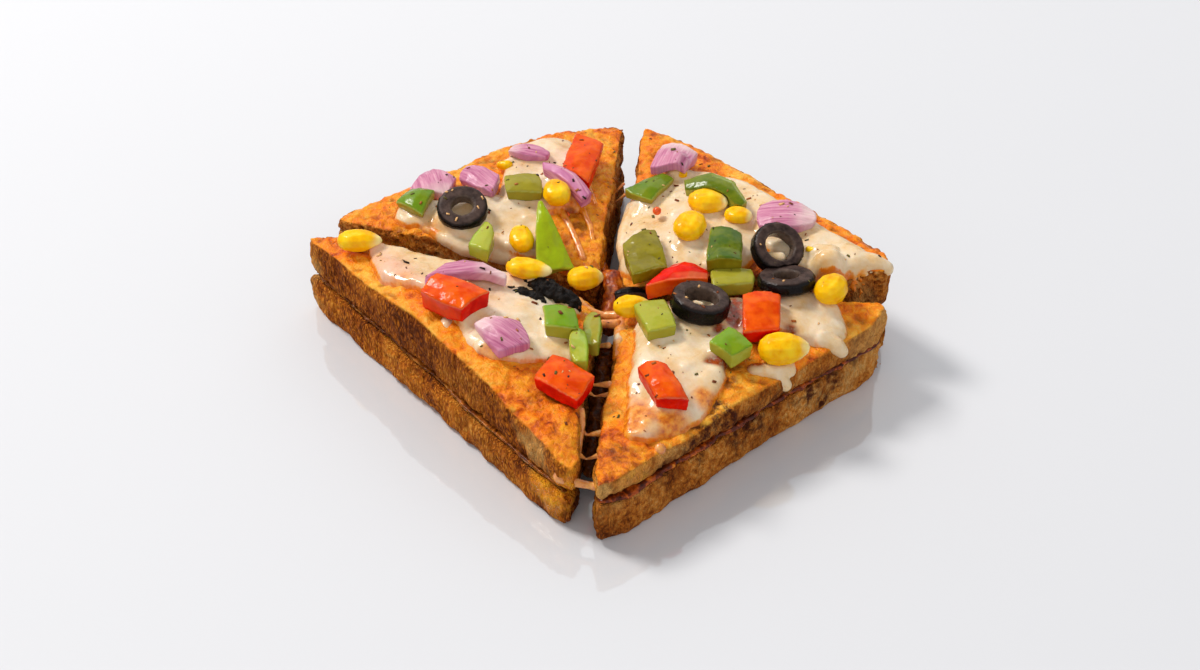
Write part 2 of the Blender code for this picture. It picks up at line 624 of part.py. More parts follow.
def main():
    clear_scene()
    collection = new_collection(COLLECTION)
    cutters = new_collection(CUTTERS)
    trees = []
    for seed, wedge in enumerate(WEDGES):
        bread = slice_pair(wedge, seed * 10, collection)
        cheese = melt_cheese(wedge, seed * 10 + 5, bread, collection)
        trees += [tree_of(bread), tree_of(cheese)]
    for seed, (name, spec) in enumerate(PIECES.items()):
        add_topping(name, spec, seed * 3.7, trees, collection)
    for name, by in CARVED:
        carve(collection, cutters, name, by)
    recentre(collection)


main()
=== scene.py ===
"""Pizza toast: the toasted bread, melted cheese and vegetables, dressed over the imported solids.

Tables and function arguments are in millimetres and degrees unless they say otherwise; meshes are in metres.
X runs along the front crust, Z is up, and the toast stands on Z = 0.
"""

import math

import bmesh
import bpy
import numpy as np
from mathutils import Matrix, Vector
from mathutils.bvhtree import BVHTree


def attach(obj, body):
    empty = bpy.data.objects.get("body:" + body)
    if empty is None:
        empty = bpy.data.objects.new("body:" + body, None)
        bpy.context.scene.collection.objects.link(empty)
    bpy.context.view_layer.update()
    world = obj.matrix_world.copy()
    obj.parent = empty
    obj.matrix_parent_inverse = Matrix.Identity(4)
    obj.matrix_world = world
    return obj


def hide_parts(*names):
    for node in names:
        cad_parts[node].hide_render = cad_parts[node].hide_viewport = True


MM = 0.001
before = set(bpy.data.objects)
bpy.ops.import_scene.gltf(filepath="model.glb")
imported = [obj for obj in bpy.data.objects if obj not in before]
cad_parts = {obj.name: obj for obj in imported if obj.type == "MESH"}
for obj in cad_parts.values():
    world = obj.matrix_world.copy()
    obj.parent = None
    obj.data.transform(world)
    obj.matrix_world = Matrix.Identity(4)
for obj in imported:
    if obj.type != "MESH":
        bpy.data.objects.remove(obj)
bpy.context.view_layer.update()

# Mesh fineness
BREAD_VOXEL = 0.45
FILLING_VOXEL = 0.5
TOPPING_VOXEL = 0.25
CHEESE_STEP = 0.4
CHEESE_VOXEL = 0.36
FULLER = 0.12                # makes up for what relaxing takes off a topping

# Relief of the bread
TOP_LUMPS = 0.7
TOP_GRAIN = 0.4
PORE_DEPTH = 0.3
FIBRE_HEIGHT = 0.38
CRUST_LUMPS = 0.6
CUT_LUMPS = 0.7
TEAR_DEPTH = 0.8

# Relief of the cheese
CHEESE_LUMPS = 0.65
BLISTER_HEIGHT = 0.35
CLIMB = 0.9                  # how far it rises beside a topping
SINK = 0.7                   # how far its underside lies in the bread
BREAD_LEVEL = 12.5           # any surface of an upper slice above this can hold cheese

# Herb flecks: how many, the span they lie in along x and y, and the lowest place for one, in metres
FLECK_COUNT = 430
FLECK_SPAN = ((-52, 52), (-46, 47))
FLECK_LOWEST = 0.018

# The wedges, and the way that each one's crust faces in plan
CRUSTS = {
    "front_left": (0, -1),
    "front_right": (1, 0),
    "back_left": (-1, 0),
    "back_right": (0, 1),
}

# Places that differ from the rest, on the bread, and the last two kinds on the cheese: x, y, z, radius, strength
SPOTS = {
    "char": (
        (57, -13, 16.5, 7, 1), (58, -7.5, 10, 8, 1), (57.5, -21, 13, 7, 1), (58, 13, 8, 5, 1),
        (58, 15.5, 11, 4, 1), (58, 20.5, 4, 5, 1), (58, 22.5, 9, 4.5, 1), (57, -2, 9, 6, 0.9),
        (58, 3, 12, 5, 0.9), (58, -30, 11, 5, 0.7), (58, 29, 11, 4, 0.7), (46.5, -5, 21, 3, 1),
        (52, -14, 19, 5, 0.6), (46, -2, 22, 5, 0.6), (52, -39, 17.5, 4, 0.6), (50.5, -8, 18.5, 6, 0.7),
        (46.5, -10, 19, 4, 0.6), (51, 34, 24, 3, 0.7), (-33, 47, 24, 3, 0.5), (-14, 50, 24, 3, 0.5),
        (33, -51, 9, 4, 0.6), (12, -51, 10, 3, 0.7), (-25, 2, 20, 4, 0.6), (-14, 9, 17, 6, 0.6),
        (46, -44, 18, 3, 0.5),
    ),
    # Scorched crust, and painted shade on the cut faces deep in the gaps between the wedges
    "brown": (
        (56, -51, 4, 9, 1), (-21, -51, 17, 11, 0.5), (-4, -51, 16, 14, 1), (8, -51, 16, 12, 1),
        (18, -51, 17, 12, 0.9), (-45, -50, 14, 8, 0.4), (20, -52, 5, 14, 0.7), (-15, 6, 22, 9, 0.7),
        (-24, 14, 23, 6, 0.6), (52, -6, 19, 8, 0.8), (55, -18, 18, 6, 0.7), (54, 12, 19, 5, 0.5),
        (-16, 10, 16, 14, 1), (-30, 22, 14, 14, 0.9), (25, -22, 10, 14, 0.9), (40, -40, 8, 10, 0.9),
        (58, -36, 12, 5, 0.6), (58, -26, 12, 5, 0.8), (58, -16, 12, 6, 0.9), (58, -5, 12, 6, 0.9),
        (58, 7, 12, 6, 0.9), (58, 18, 12, 5, 0.8), (-24, 43, 25, 8, 0.7), (-12, 47, 26, 5, 0.5),
        (57, 0, 12, 16, 0.7), (58, -28, 10, 8, 0.6), (58, 20, 8, 12, 0.6), (20, 50, 22, 12, 0.6),
        (45, 48, 20, 10, 0.5),
    ),
    "pale": (
        (56.5, -48.5, 14.5, 5, 1), (57, -40, 14, 8, 0.7), (38, -51, 15, 8, 0.7), (50, 38, 17, 8, 0.7),
        (56, 32, 14, 10, 0.5), (-56, -42, 17, 4, 0.5), (-57, -49, 14, 9, 0.7), (-57, -49, 5, 8, 0.6),
        (57, -30, 15, 6, 0.5),
    ),
    "gold": (
        (40, -52, 7, 5, 1), (45, -52, 5, 5.5, 1), (47, -51, 10, 6, 1), (50, -49, 6, 5, 1),
        (52, -50, 14, 6, 1), (44, -45, 18, 8, 0.8), (25, -40, 20, 9, 0.7), (56, -40, 18, 9, 0.5),
        (16, -12, 19, 6, 0.8), (8, -12, 19, 6, 0.8), (-20, 9, 22, 9, 0.9), (-12, 5, 19, 9, 1),
        (-5, 0, 17, 7, 0.9), (-27, 22, 22, 7, 0.7), (-44, -30, 21, 8, 0.7), (30, -24, 17, 7, 0.7),
        (50, 33, 23, 6, 0.6),
    ),
    "saucy": (
        (33.8, 9.6, 23, 4, 1), (37, 8, 23, 4.4, 1), (40, 6.4, 22.5, 3.6, 1), (38.6, 2, 22.5, 2.6, 0.8),
        (46, -6, 20.5, 4, 1), (50, 14, 22, 3.4, 0.9), (47, 5, 22, 3, 0.9), (50.6, 1.6, 20, 3, 0.7),
        (-20, 6, 22, 2.4, 0.6), (-8, -20.5, 22.5, 2, 0.8), (6, -4.5, 18, 4, 0.7),
    ),
    "amber": (
        (47, -32, 19, 8, 1), (53, -25, 18, 6, 1), (40, -31, 19, 6, 1), (53, -14, 18.5, 5, 0.9),
        (14, -45, 23, 5, 0.7), (-24, 14, 23, 7, 0.8), (-20, -46, 24, 6, 0.6), (44, 33, 22, 4, 0.6),
        (52, 28, 19, 4, 0.5), (-18, 8, 22, 10, 1), (-10, 4, 19, 9, 1), (15, -8, 18, 5, 0.9),
        (19, -12, 18, 5, 0.9), (24, -18, 18, 5, 0.9), (29, -24, 18, 5, 0.8), (50, -38, 18, 5, 0.6),
        (-38, -27, 21, 5, 0.7),
    ),
}

# Cheese that has run over an edge or piled up on a wedge: x, y, height above the bread, radius
RUNS = {
    "front_left": (
        ((-2.8, -44.6, -0.9, 1.5), (-1.6, -45.8, -1, 1.5), (-0.4, -46.6, -1.2, 1.1)),
        ((3, -43, -0.7, 1.6), (7, -44, -0.6, 1.9), (11, -44.4, -0.5, 1.9), (14, -43.6, -0.6, 1.5)),
        ((-3, -24, 0, 1), (1, -21, 0, 1.2), (6, -19.4, 0, 1)),
    ),
    "front_right": (
        ((15.8, -7.4, -1, 1.5), (19.2, -10.8, -0.8, 1.6), (22.8, -14.6, -0.8, 1.3), (27, -18.8, -0.7, 1)),
        ((51.6, 1, -0.5, 1.8), (54, 4.6, -0.6, 2.1), (55.4, 8, -0.6, 1.8), (53.4, 9.4, -0.5, 1.6)),
        ((55, 5, -0.8, 1.8), (57, 5.8, -1.8, 1.4)),
        ((54, 20, 0, 2.4), (57, 22, -0.5, 2), (57.9, 23, -1.8, 1.5)),
    ),
    "back_left": (
        ((-38, -25.6, -0.2, 1.2), (-31.8, -23.6, -0.1, 1.8), (-27.6, -21.6, -0.3, 2.2), (-23.4, -19, -0.4, 2),
         (-19.4, -16.8, -0.4, 1.6), (-14.6, -14.2, -0.5, 1)),
        ((-26, 12, 0.2, 1), (-20, 9.6, 0, 0.9), (-14, 7.4, -0.2, 0.8), (-9.6, 4.6, -0.8, 0.8)),
        ((-23, 5, 0.1, 1.1), (-17, 3, 0, 0.9), (-11.4, 0.8, -0.2, 0.9), (-6, -1.6, -0.4, 0.8)),
        ((-30, 19, 0.1, 0.8), (-25, 16.4, 0, 0.7), (-19.6, 14, -0.3, 0.6)),
    ),
    "back_right": (
        ((-13.4, 21, 0, 1.7), (-9.8, 17, -0.3, 2.1), (-6.6, 13.2, -0.6, 2.3), (-3.4, 9.8, -0.8, 2.2),
         (0.2, 7, -1, 2), (3.6, 5.4, -1.2, 1.5)),
        ((35.8, 37.4, 0.9, 2.5), (38.2, 38.8, 0.9, 2.5)),
        ((42.4, 42.6, 0, 2.3), (46, 45.4, -0.2, 2.4), (48.6, 47.4, -0.6, 1.8)),
    ),
}

# How far each wedge's filling swells, how lumpy it is, how much of it is sauce, and how pink the cheese is
MELT = {
    "front_left": (-1.1, 0.5, 0.7, 0.75),
    "front_right": (0.5, 1.1, 1.0, 0.25),
    "back_left": (-0.3, 0.5, 0.5, 0.1),
    "back_right": (-0.3, 0.5, 0.5, 0.1),
}

# Melted strings and bridges across the cuts, a drop on the right edge, and cheese in the holes of two olives.
# Each is a line of points: x, y, z, radius
STRINGS = (
    ((28.5, -30, 18, 0.9), (30.6, -28.6, 16.8, 0.3), (33.4, -26.4, 17.6, 0.9)),
    ((31, -31.8, 17.4, 0.8), (32.8, -30.2, 15.8, 0.22), (35.4, -28.2, 17, 0.7)),
    ((38.4, -40, 16.6, 1.1), (41, -39.4, 15, 0.3), (43.4, -37, 16, 0.9)),
    ((43, -44.6, 14.6, 1), (45.2, -43, 13, 0.22), (47.6, -40.6, 14.6, 0.8)),
    ((45.6, -50.4, 12.6, 1.6), (48.4, -48.6, 11.8, 1.1), (51, -46.6, 11.6, 0.9), (53, -46, 12.4, 1.2)),
    ((6, -13, 18.4, 1.4), (9.6, -12.6, 17.6, 1.2), (12.6, -10.6, 17, 1), (15.5, -8.4, 17.6, 1.4)),
    ((11.4, -15.4, 18.2, 1.2), (14.4, -13.4, 17.2, 0.9), (17.6, -10.8, 17.6, 1.3)),
    ((17.5, -21.5, 18, 0.8), (19.6, -19.4, 16.6, 0.3), (22.6, -17.6, 17.8, 0.8)),
    ((-27, 21, 20.5, 0.5), (-25, 24.4, 18, 0.18), (-24, 27, 20.5, 0.5)),
    ((-26, 20, 19.5, 0.5), (-23, 23, 17, 0.18), (-21, 25, 19.5, 0.5)),
    ((37, -37.6, 18.4, 0.9), (39.6, -39.6, 17.2, 0.9), (42, -42.2, 14.4, 0.7), (43.4, -44, 11, 0.6)),
    ((56.4, -31.6, 17.2, 1.3),),
    ((30, 26.9, 26.6, 1.3), (31.6, 28.4, 26.6, 1.4)),
    ((31, 1.6, 25.4, 0.8), (32, 2.4, 25.2, 0.8)),
)

# Sauce that has run into the cuts, in the same form; it is also a dark sheet of painted shade deep in the gaps
SAUCE_AND_GAP_SHADE = (
    ((15, -11.6, 8, 2.4), (20, -16.8, 8, 2.3), (26, -23, 7, 2.3), (32, -29.2, 6, 2.2), (37, -34.4, 5, 2),
     (40.4, -38, 3.4, 1.8)),
    ((2.4, 1, 16.6, 2.4), (5.4, -1.2, 15.8, 2.4), (9, -5, 14.6, 2.6), (12.4, -9, 12.6, 2.3)),
    ((1.6, 1.6, 16.4, 2), (-2, 0.6, 15.4, 1.8), (-4.6, 3, 14.6, 2)),
    ((-9, 5.8, 15.4, 2.2), (-13, 8.4, 15.4, 2), (-17, 12, 15.4, 1.8), (-21, 16, 15.4, 1.8)),
)

# Charred crumbs stuck together, in the same form
BURNT = (
    ((-4, -20.6, 23, 1.4), (-1, -20.2, 23.4, 2.2), (2.4, -19.4, 23.2, 2.5), (5.8, -18, 22.8, 2.4),
     (8.8, -17.4, 22, 1.8), (10.6, -16.6, 21.2, 1)),
    ((-2.6, -26.8, 23.4, 1.2), (0, -26, 23.6, 1.8), (2.8, -24.4, 23.4, 1.8), (5, -23.2, 23, 1.3)),
)

# Small bits of corn and tomato, in the same form
CORN_BITS = (
    ((-45.8, 3.4, 25.4, 1), (-44.4, 4.6, 25.4, 1.5)), ((-14, 34.2, 26, 1.5), (-11.2, 35.4, 26.2, 1.9)),
    ((33.6, 36, 26.6, 0.8), (35, 36.4, 26.8, 1)),
)
TOMATO_BITS = (
    ((-2, 19, 26.8, 1.1),), ((-8.6, -21, 23.6, 0.7), (-7.6, -20.4, 23.6, 0.6)), ((-20.6, 5.2, 22, 0.9),),
    ((35.8, 44.4, 25.4, 0.7), (38.6, 45.8, 25.2, 0.8)),
)

# The stage. A light has a place, as metres to the camera's right, away from it and up, then its width, its
# height, its power in watts and its colour
WORLD_COLOUR = (0.97, 0.98, 1, 1)
WORLD_STRENGTH = 0.34
FLOOR_REACH = 3
LIGHTS = {
    "key": ((-0.95, 0.6, 1.25), 0.4, 0.4, 22.5, (1, 0.97, 0.93)),
    "back": ((0, 1.7, 1.35), 3.4, 1.6, 13.5, (0.97, 0.98, 1)),
    "fill": ((1.26, -0.54, 0.9), 2, 1.4, 5.4, (0.95, 0.97, 1)),
    "front": ((-0.36, -1.44, 0.81), 2.6, 1.4, 9, (1, 0.98, 0.95)),
}
RIGHT = Vector((0.643, 0.766, 0))
AWAY = Vector((-0.766, 0.643, 0))
UP = Vector((0, 0, 1))
CAMERA_AZIMUTH = 50
CAMERA_ELEVATION = 38
CAMERA_DISTANCE = 385.5
CAMERA_TARGET = (10.4, -9.88, 9.6)
LENS = 48
SENSOR = 36

# ---- repeatable noise


def hashed(cell, seed):
    """A repeatable number from 0 to 1 for each row of whole numbers."""
    x, y, z = cell[:, 0], cell[:, 1], cell[:, 2]
    h = (x * 374761393 + y * 668265263 + z * 1440662683 + seed * 974634777) & 0xFFFFFFFF
    h = ((h ^ (h >> 13)) * 1274126177) & 0xFFFFFFFF
    h = ((h ^ (h >> 16)) * 2246822519) & 0xFFFFFFFF
    return ((h ^ (h >> 13)) & 0xFFFFFF) / 0xFFFFFF


def noise(points, size, seed=0):
    """Smooth noise from -1 to 1, with features of about that size; size is one number or three."""
    p = points / np.array(size, float)
    base = np.floor(p).astype(np.int64)
    f = p - base
    f = f * f * f * (f * (f * 6 - 15) + 10)
    total = np.zeros(len(p))
    for corner in range(8):
        step = np.array([(corner >> axis) & 1 for axis in range(3)])
        total += np.prod(np.where(step, f, 1 - f), axis=1) * hashed(base + step, seed)
    return total * 2 - 1


def layers(points, size, seed):
    """Noise at three sizes, each half as large and half as strong as the last."""
    size = np.array(size, float)
    parts = [noise(points, size / 2**i, seed + i) / 2**i for i in range(3)]
    return sum(parts) / 1.75


def cells(points, size, seed=0):
    """Distance to the nearest of scattered points that are about size apart, as a share of size."""
    p = points / size
    base = np.floor(p).astype(np.int64)
    nearest = np.full(len(p), 9.0)
    for number in range(27):
        cell = base + np.array([number % 3, number // 3 % 3, number // 9]) - 1
        spot = cell + np.stack([hashed(cell, seed + axis) for axis in range(3)], 1)
        nearest = np.minimum(nearest, ((p - spot) ** 2).sum(1))
    return np.sqrt(nearest)


def ease(low, high, value):
    """0 below low, 1 above high and smooth between; also the other way round."""
    t = np.clip((value - low) / (high - low), 0, 1)
    return t * t * (3 - 2 * t)


# ---- meshes


def read(mesh, what="co"):
    """The vertices' places in millimetres, or their normals."""
    values = np.zeros(len(mesh.vertices) * 3)
    mesh.vertices.foreach_get(what, values)
    values = values.reshape(-1, 3)
    return values / MM if what == "co" else values


def write(mesh, points):
    """Moves the vertices, and keeps them off the floor."""
    points = np.column_stack([points[:, :2], np.maximum(points[:, 2], 0)])
    mesh.vertices.foreach_set("co", (points * MM).ravel())
    mesh.update()


def store(mesh, **values):
    """Keeps numbers on the vertices, for the materials to read."""
    for name, value in values.items():
        attribute = mesh.attributes.new(name, "FLOAT", "POINT")
        attribute.data.foreach_set("value", np.broadcast_to(value, len(mesh.vertices)).astype(np.float32))


def refined(mesh, voxel, relax):
    """The same form in small, even faces, with its edges relaxed."""
    holder = bpy.data.objects.new("holder", mesh)
    bpy.context.scene.collection.objects.link(holder)
    remesh = holder.modifiers.new("remesh", "REMESH")
    remesh.mode = "VOXEL"
    remesh.voxel_size = voxel * MM
    smooth = holder.modifiers.new("smooth", "SMOOTH")
    smooth.factor = 0.5
    smooth.iterations = relax
    done = holder.evaluated_get(bpy.context.evaluated_depsgraph_get())
    result = bpy.data.meshes.new_from_object(done)
    bpy.data.objects.remove(holder)
    result.materials.clear()
    return result


def build(points, faces):
    """A mesh from points in millimetres."""
    mesh = bpy.data.meshes.new("piece")
    mesh.from_pydata((np.array(points) * MM).tolist(), [], faces)
    return mesh


def show(name, mesh, material, replaces=()):
    """Adds a mesh to the scene as a piece of the toast."""
    mesh.polygons.foreach_set("use_smooth", np.ones(len(mesh.polygons), bool))
    mesh.materials.clear()
    mesh.materials.append(material)
    piece = bpy.data.objects.new(name, mesh)
    bpy.context.scene.collection.objects.link(piece)
    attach(piece, "root")
    if replaces:
        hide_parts(*replaces)
    return piece


def tree_of(*meshes):
    """A search tree of some meshes, in millimetres."""
    points, faces = [], []
    for mesh in meshes:
        start = len(points)
        points.extend(read(mesh).tolist())
        faces.extend([start + i for i in face.vertices] for face in mesh.polygons)
    return BVHTree.FromPolygons(points, faces)


def drop(tree, x, y, start=60.0, down=True):
    """Height of the first surface above or below a point, or None."""
    hit = tree.ray_cast(Vector((x, y, start)), Vector((0, 0, -1 if down else 1)))[0]
    return None if hit is None else hit.z


def blurred(grid, radius):
    """A grid smoothed over that many cells each way."""
    reach = int(math.ceil(radius * 2))
    weights = [math.exp(-(k / radius) ** 2) for k in range(-reach, reach + 1)]
    for axis in (0, 1):
        padded = np.pad(grid, [(reach, reach) if a == axis else (0, 0) for a in (0, 1)], mode="edge")
        size = grid.shape[axis]
        grid = sum(w * padded.take(range(k, k + size), axis) for k, w in enumerate(weights)) / sum(weights)
    return grid


def own_axes(points):
    """The middle of some points and their long, middle and short directions; the short one points up."""
    middle = (points.max(0) + points.min(0)) / 2
    centred = points - points.mean(0)
    directions = np.linalg.eigh(centred.T @ centred)[1].T[::-1]
    if directions[2, 2] < 0:
        directions[2] *= -1
    return middle, directions


# ---- materials


class Shader:
    """A material and short names for the nodes that this scene uses."""

    def __init__(self, name):
        self.material = bpy.data.materials.new(name)
        self.material.use_nodes = True
        self.tree = self.material.node_tree
        self.surface = self.tree.nodes["Principled BSDF"]

    def node(self, kind, *inputs, **settings):
        """A new node with its first inputs linked or set."""
        made = self.tree.nodes.new("ShaderNode" + kind)
        for name, value in settings.items():
            setattr(made, name, value)
        for socket, value in zip(made.inputs, inputs):
            self.link(value, socket)
        return made

    def link(self, value, socket):
        """Links or sets a socket; None leaves it as it is."""
        if isinstance(value, bpy.types.NodeSocket):
            self.tree.links.new(value, socket)
        elif value is not None:
            socket.default_value = value

    def stored(self, name):
        """The number kept on the vertices under that name."""
        return self.node("Attribute", attribute_name=name).outputs["Fac"]

    def place(self, stretch=(1, 1, 1)):
        """The place in the frame in millimetres, divided by a stretch along each axis."""
        coordinates = self.node("TexCoord").outputs["Object"]
        scale = [1 / MM / s for s in stretch]
        return self.node("Mapping", coordinates, None, None, scale).outputs[0]

    def noise(self, size, detail, vector=None, rough=0.55, warp=0):
        made = self.node("TexNoise")
        self.link(vector or self.place(), made.inputs["Vector"])
        made.inputs["Scale"].default_value = 1 / size
        made.inputs["Detail"].default_value = detail
        made.inputs["Roughness"].default_value = rough
        made.inputs["Distortion"].default_value = warp
        return made.outputs["Fac"]

    def cell_edges(self, size, vector):
        """Distance to the edges of random cells of about that size."""
        made = self.node("TexVoronoi", feature="DISTANCE_TO_EDGE")
        self.link(vector, made.inputs["Vector"])
        made.inputs["Scale"].default_value = 1 / size
        return made.outputs["Distance"]

    def warped(self, vector, size, amount):
        """A vector pushed about by noise."""
        made = self.node("TexNoise")
        self.link(vector, made.inputs["Vector"])
        made.inputs["Scale"].default_value = 1 / size
        shift = self.node("VectorMath", made.outputs["Color"], (amount, amount, amount), operation="MULTIPLY")
        return self.node("VectorMath", vector, shift.outputs[0], operation="ADD").outputs[0]

    def math(self, operation, a, b, clamp=False):
        return self.node("Math", a, b, operation=operation, use_clamp=clamp).outputs[0]

    def range(self, value, low, high, to_low=0.0, to_high=1.0):
        made = self.node("MapRange", value, low, high, to_low, to_high, interpolation_type="SMOOTHSTEP")
        return made.outputs[0]

    def ramp(self, value, *stops):
        """Colours along a value; each stop is a place from 0 to 1 and a colour."""
        made = self.node("ValToRGB", value)
        points = made.color_ramp.elements
        while len(points) < len(stops):
            points.new(0.5)
        for point, (where, colour) in zip(points, stops):
            point.position = where
            point.color = (*colour, 1)
        return made.outputs[0]

    def mix(self, share, a, b):
        made = self.node("Mix", data_type="RGBA")
        self.link(share, made.inputs[0])
        self.link((*a, 1) if isinstance(a, tuple) else a, made.inputs[6])
        self.link((*b, 1) if isinstance(b, tuple) else b, made.inputs[7])
        return made.outputs[2]

    def bump(self, height, distance, base=None):
        """A bent normal, for a height of that distance in millimetres."""
        made = self.node("Bump")
        made.inputs["Strength"].default_value = 1
        made.inputs["Distance"].default_value = distance * MM
        self.link(height, made.inputs["Height"])
        self.link(base, made.inputs["Normal"])
        return made.outputs[0]

    def finish(self, **sockets):
        """Sets the surface's sockets, named in lower case with underscores."""
        for name, value in sockets.items():
            socket = self.surface.inputs[name.replace("_", " ").title().replace("Ior", "IOR")]
            self.link((*value, 1) if isinstance(value, tuple) and socket.type == "RGBA" else value, socket)
        return self.material


def bread_material():
    s = Shader("bread")
    broad = s.noise(9, 4)
    fine = s.noise(1.3, 4, rough=0.65)
    strands = s.warped(s.place((1, 1, 2.6)), 1.6, 0.9)
    fibre = s.noise(0.7, 3, vector=strands, rough=0.6)
    crevice = s.range(s.cell_edges(0.75, strands), 0.0, 0.3)

    crust_value = s.math("ADD", s.math("MULTIPLY", broad, 0.4), s.math("MULTIPLY", fibre, 0.45))
    # The crust is painted darker along the crevices between its fibres: painted shade
    crust_value = s.math("ADD", crust_value, s.math("MULTIPLY", crevice, 0.13))
    crust_value = s.math("ADD", crust_value, s.math("MULTIPLY", s.stored("tone"), 0.3), clamp=True)
    crust = s.ramp(
        crust_value, (0.34, (0.1, 0.02, 0.001)), (0.43, (0.34, 0.08, 0.005)), (0.51, (0.55, 0.155, 0.011)),
        (0.6, (0.72, 0.25, 0.022)), (0.72, (0.88, 0.42, 0.08)),
    )
    crumb_value = s.math("ADD", s.math("MULTIPLY", broad, 0.45), s.math("MULTIPLY", fine, 0.6))
    crumb_value = s.math("ADD", crumb_value, s.math("MULTIPLY", s.stored("tone"), 0.3), clamp=True)
    crumb = s.ramp(
        crumb_value, (0.38, (0.13, 0.024, 0.002)), (0.48, (0.42, 0.115, 0.011)), (0.58, (0.68, 0.25, 0.038)),
        (0.72, (0.86, 0.5, 0.17)),
    )
    colour = s.mix(s.stored("crumb"), crust, crumb)
    pale = s.math("MULTIPLY", s.stored("pale"), s.range(fine, 0.3, 0.7, 0.5, 0.95))
    colour = s.mix(pale, colour, (0.82, 0.48, 0.15))
    # Scorched crust, and painted shade on the cut faces in the gaps between the wedges
    brown = s.math("MULTIPLY", s.stored("brown"), s.range(broad, 0.3, 0.6, 0.95, 0.5))
    # The scorched colour is painted darker along the same crevices: painted shade
    scorch = s.math("ADD", s.math("MULTIPLY", fibre, 0.7), s.math("MULTIPLY", crevice, 0.2))
    colour = s.mix(brown, colour, s.ramp(scorch, (0.36, (0.09, 0.016, 0.001)), (0.64, (0.42, 0.1, 0.008))))

    blotch = s.noise(6, 5, rough=0.6, warp=0.8)
    grain = s.noise(1.9, 4, rough=0.6, warp=0.5)
    top_value = s.math("ADD", s.math("MULTIPLY", blotch, 0.6), s.math("MULTIPLY", grain, 0.5))
    top_value = s.math("ADD", top_value, s.math("MULTIPLY", s.stored("sun"), 0.16), clamp=True)
    top = s.ramp(
        top_value, (0.4, (0.2, 0.02, 0.002)), (0.48, (0.6, 0.09, 0.003)), (0.56, (0.92, 0.21, 0.005)),
        (0.66, (0.98, 0.33, 0.012)), (0.8, (1, 0.52, 0.06)),
    )
    colour = s.mix(s.stored("top"), colour, top)
    gold = s.math("MULTIPLY", s.stored("gold"), s.range(blotch, 0.3, 0.52, 0.35, 0.95))
    colour = s.mix(gold, colour, s.ramp(grain, (0.3, (0.75, 0.16, 0.004)), (0.65, (0.98, 0.42, 0.014))))
    # Hollows, pores and tears painted darker: painted shade
    colour = s.mix(s.math("MULTIPLY", s.stored("pit"), 0.6), colour, (0.2, 0.035, 0.003))
    char = s.math("MULTIPLY", s.stored("char"), s.range(s.noise(2.2, 4, rough=0.6), 0.38, 0.62), clamp=True)
    colour = s.mix(char, colour, (0.075, 0.014, 0.004))

    damp = s.math("MAXIMUM", s.stored("top"), s.stored("gold"))
    wet = s.math("MULTIPLY", damp, s.range(s.noise(3, 3), 0.25, 0.5))
    dry = s.math("SUBTRACT", 1.0, s.stored("top"))
    tiny = s.noise(0.5, 3, rough=0.7)
    height = s.math("ADD", s.math("MULTIPLY", fine, 0.5), s.math("MULTIPLY", tiny, 0.25))
    strand = s.math("ADD", fibre, s.math("MULTIPLY", crevice, 0.35))
    height = s.math("ADD", height, s.math("MULTIPLY", s.math("MULTIPLY", strand, dry), 1.1))
    height = s.math("ADD", height, s.math("MULTIPLY", s.math("MULTIPLY", grain, damp), 1.2))
    return s.finish(
        base_color=colour, roughness=s.range(wet, 0, 1, 0.8, 0.3), normal=s.bump(height, 0.8),
        subsurface_weight=0.05, subsurface_radius=(1.0, 0.4, 0.15), subsurface_scale=0.001,
        specular_ior_level=s.range(wet, 0, 1, 0.1, 0.22),
    )


def cheese_material():
    s = Shader("cheese")
    thick = s.stored("thick")
    broad = s.noise(7, 4, rough=0.6)
    fine = s.noise(1.6, 4, rough=0.6)
    cream = s.ramp(
        broad, (0.3, (0.74, 0.44, 0.17)), (0.42, (0.8, 0.56, 0.29)), (0.54, (0.82, 0.63, 0.4)),
        (0.72, (0.88, 0.76, 0.58)),
    )
    pink = s.mix(s.stored("pink"), cream, (0.82, 0.43, 0.29))
    edge_value = s.math("ADD", thick, s.math("MULTIPLY", s.math("SUBTRACT", fine, 0.5), 0.5))
    stained = s.ramp(
        edge_value, (0.0, (0.78, 0.2, 0.01)), (0.35, (0.86, 0.36, 0.05)), (0.75, (0.86, 0.52, 0.2)),
    )
    patchy = s.math("ADD", edge_value, s.range(s.noise(6, 4, rough=0.6, warp=0.5), 0.35, 0.6, -0.3, 0.4))
    colour = s.mix(s.range(patchy, 0.1, 0.8), stained, pink)
    golden = s.ramp(fine, (0.32, (0.5, 0.09, 0.003)), (0.5, (0.78, 0.24, 0.01)), (0.75, (0.9, 0.45, 0.06)))
    colour = s.mix(s.stored("gold"), colour, golden)
    spots = s.range(s.noise(2.4, 5, rough=0.7, warp=0.6), 0.62, 0.76)
    colour = s.mix(s.math("MULTIPLY", spots, 0.55), colour, (0.6, 0.16, 0.015))
    saucy = s.math("MULTIPLY", s.stored("saucy"), s.range(fine, 0.3, 0.55, 0.55, 1.0), clamp=True)
    colour = s.mix(saucy, colour, s.ramp(fine, (0.35, (0.09, 0.008, 0.002)), (0.6, (0.4, 0.06, 0.005))))
    normal = s.bump(fine, 0.06, base=s.bump(broad, 0.4))
    return s.finish(
        base_color=colour, roughness=s.range(fine, 0.3, 0.7, 0.16, 0.32), normal=normal,
        subsurface_weight=0.3, subsurface_radius=(1.0, 0.7, 0.4), subsurface_scale=0.0012,
        specular_ior_level=0.3, coat_weight=0.35, coat_roughness=0.07,
    )


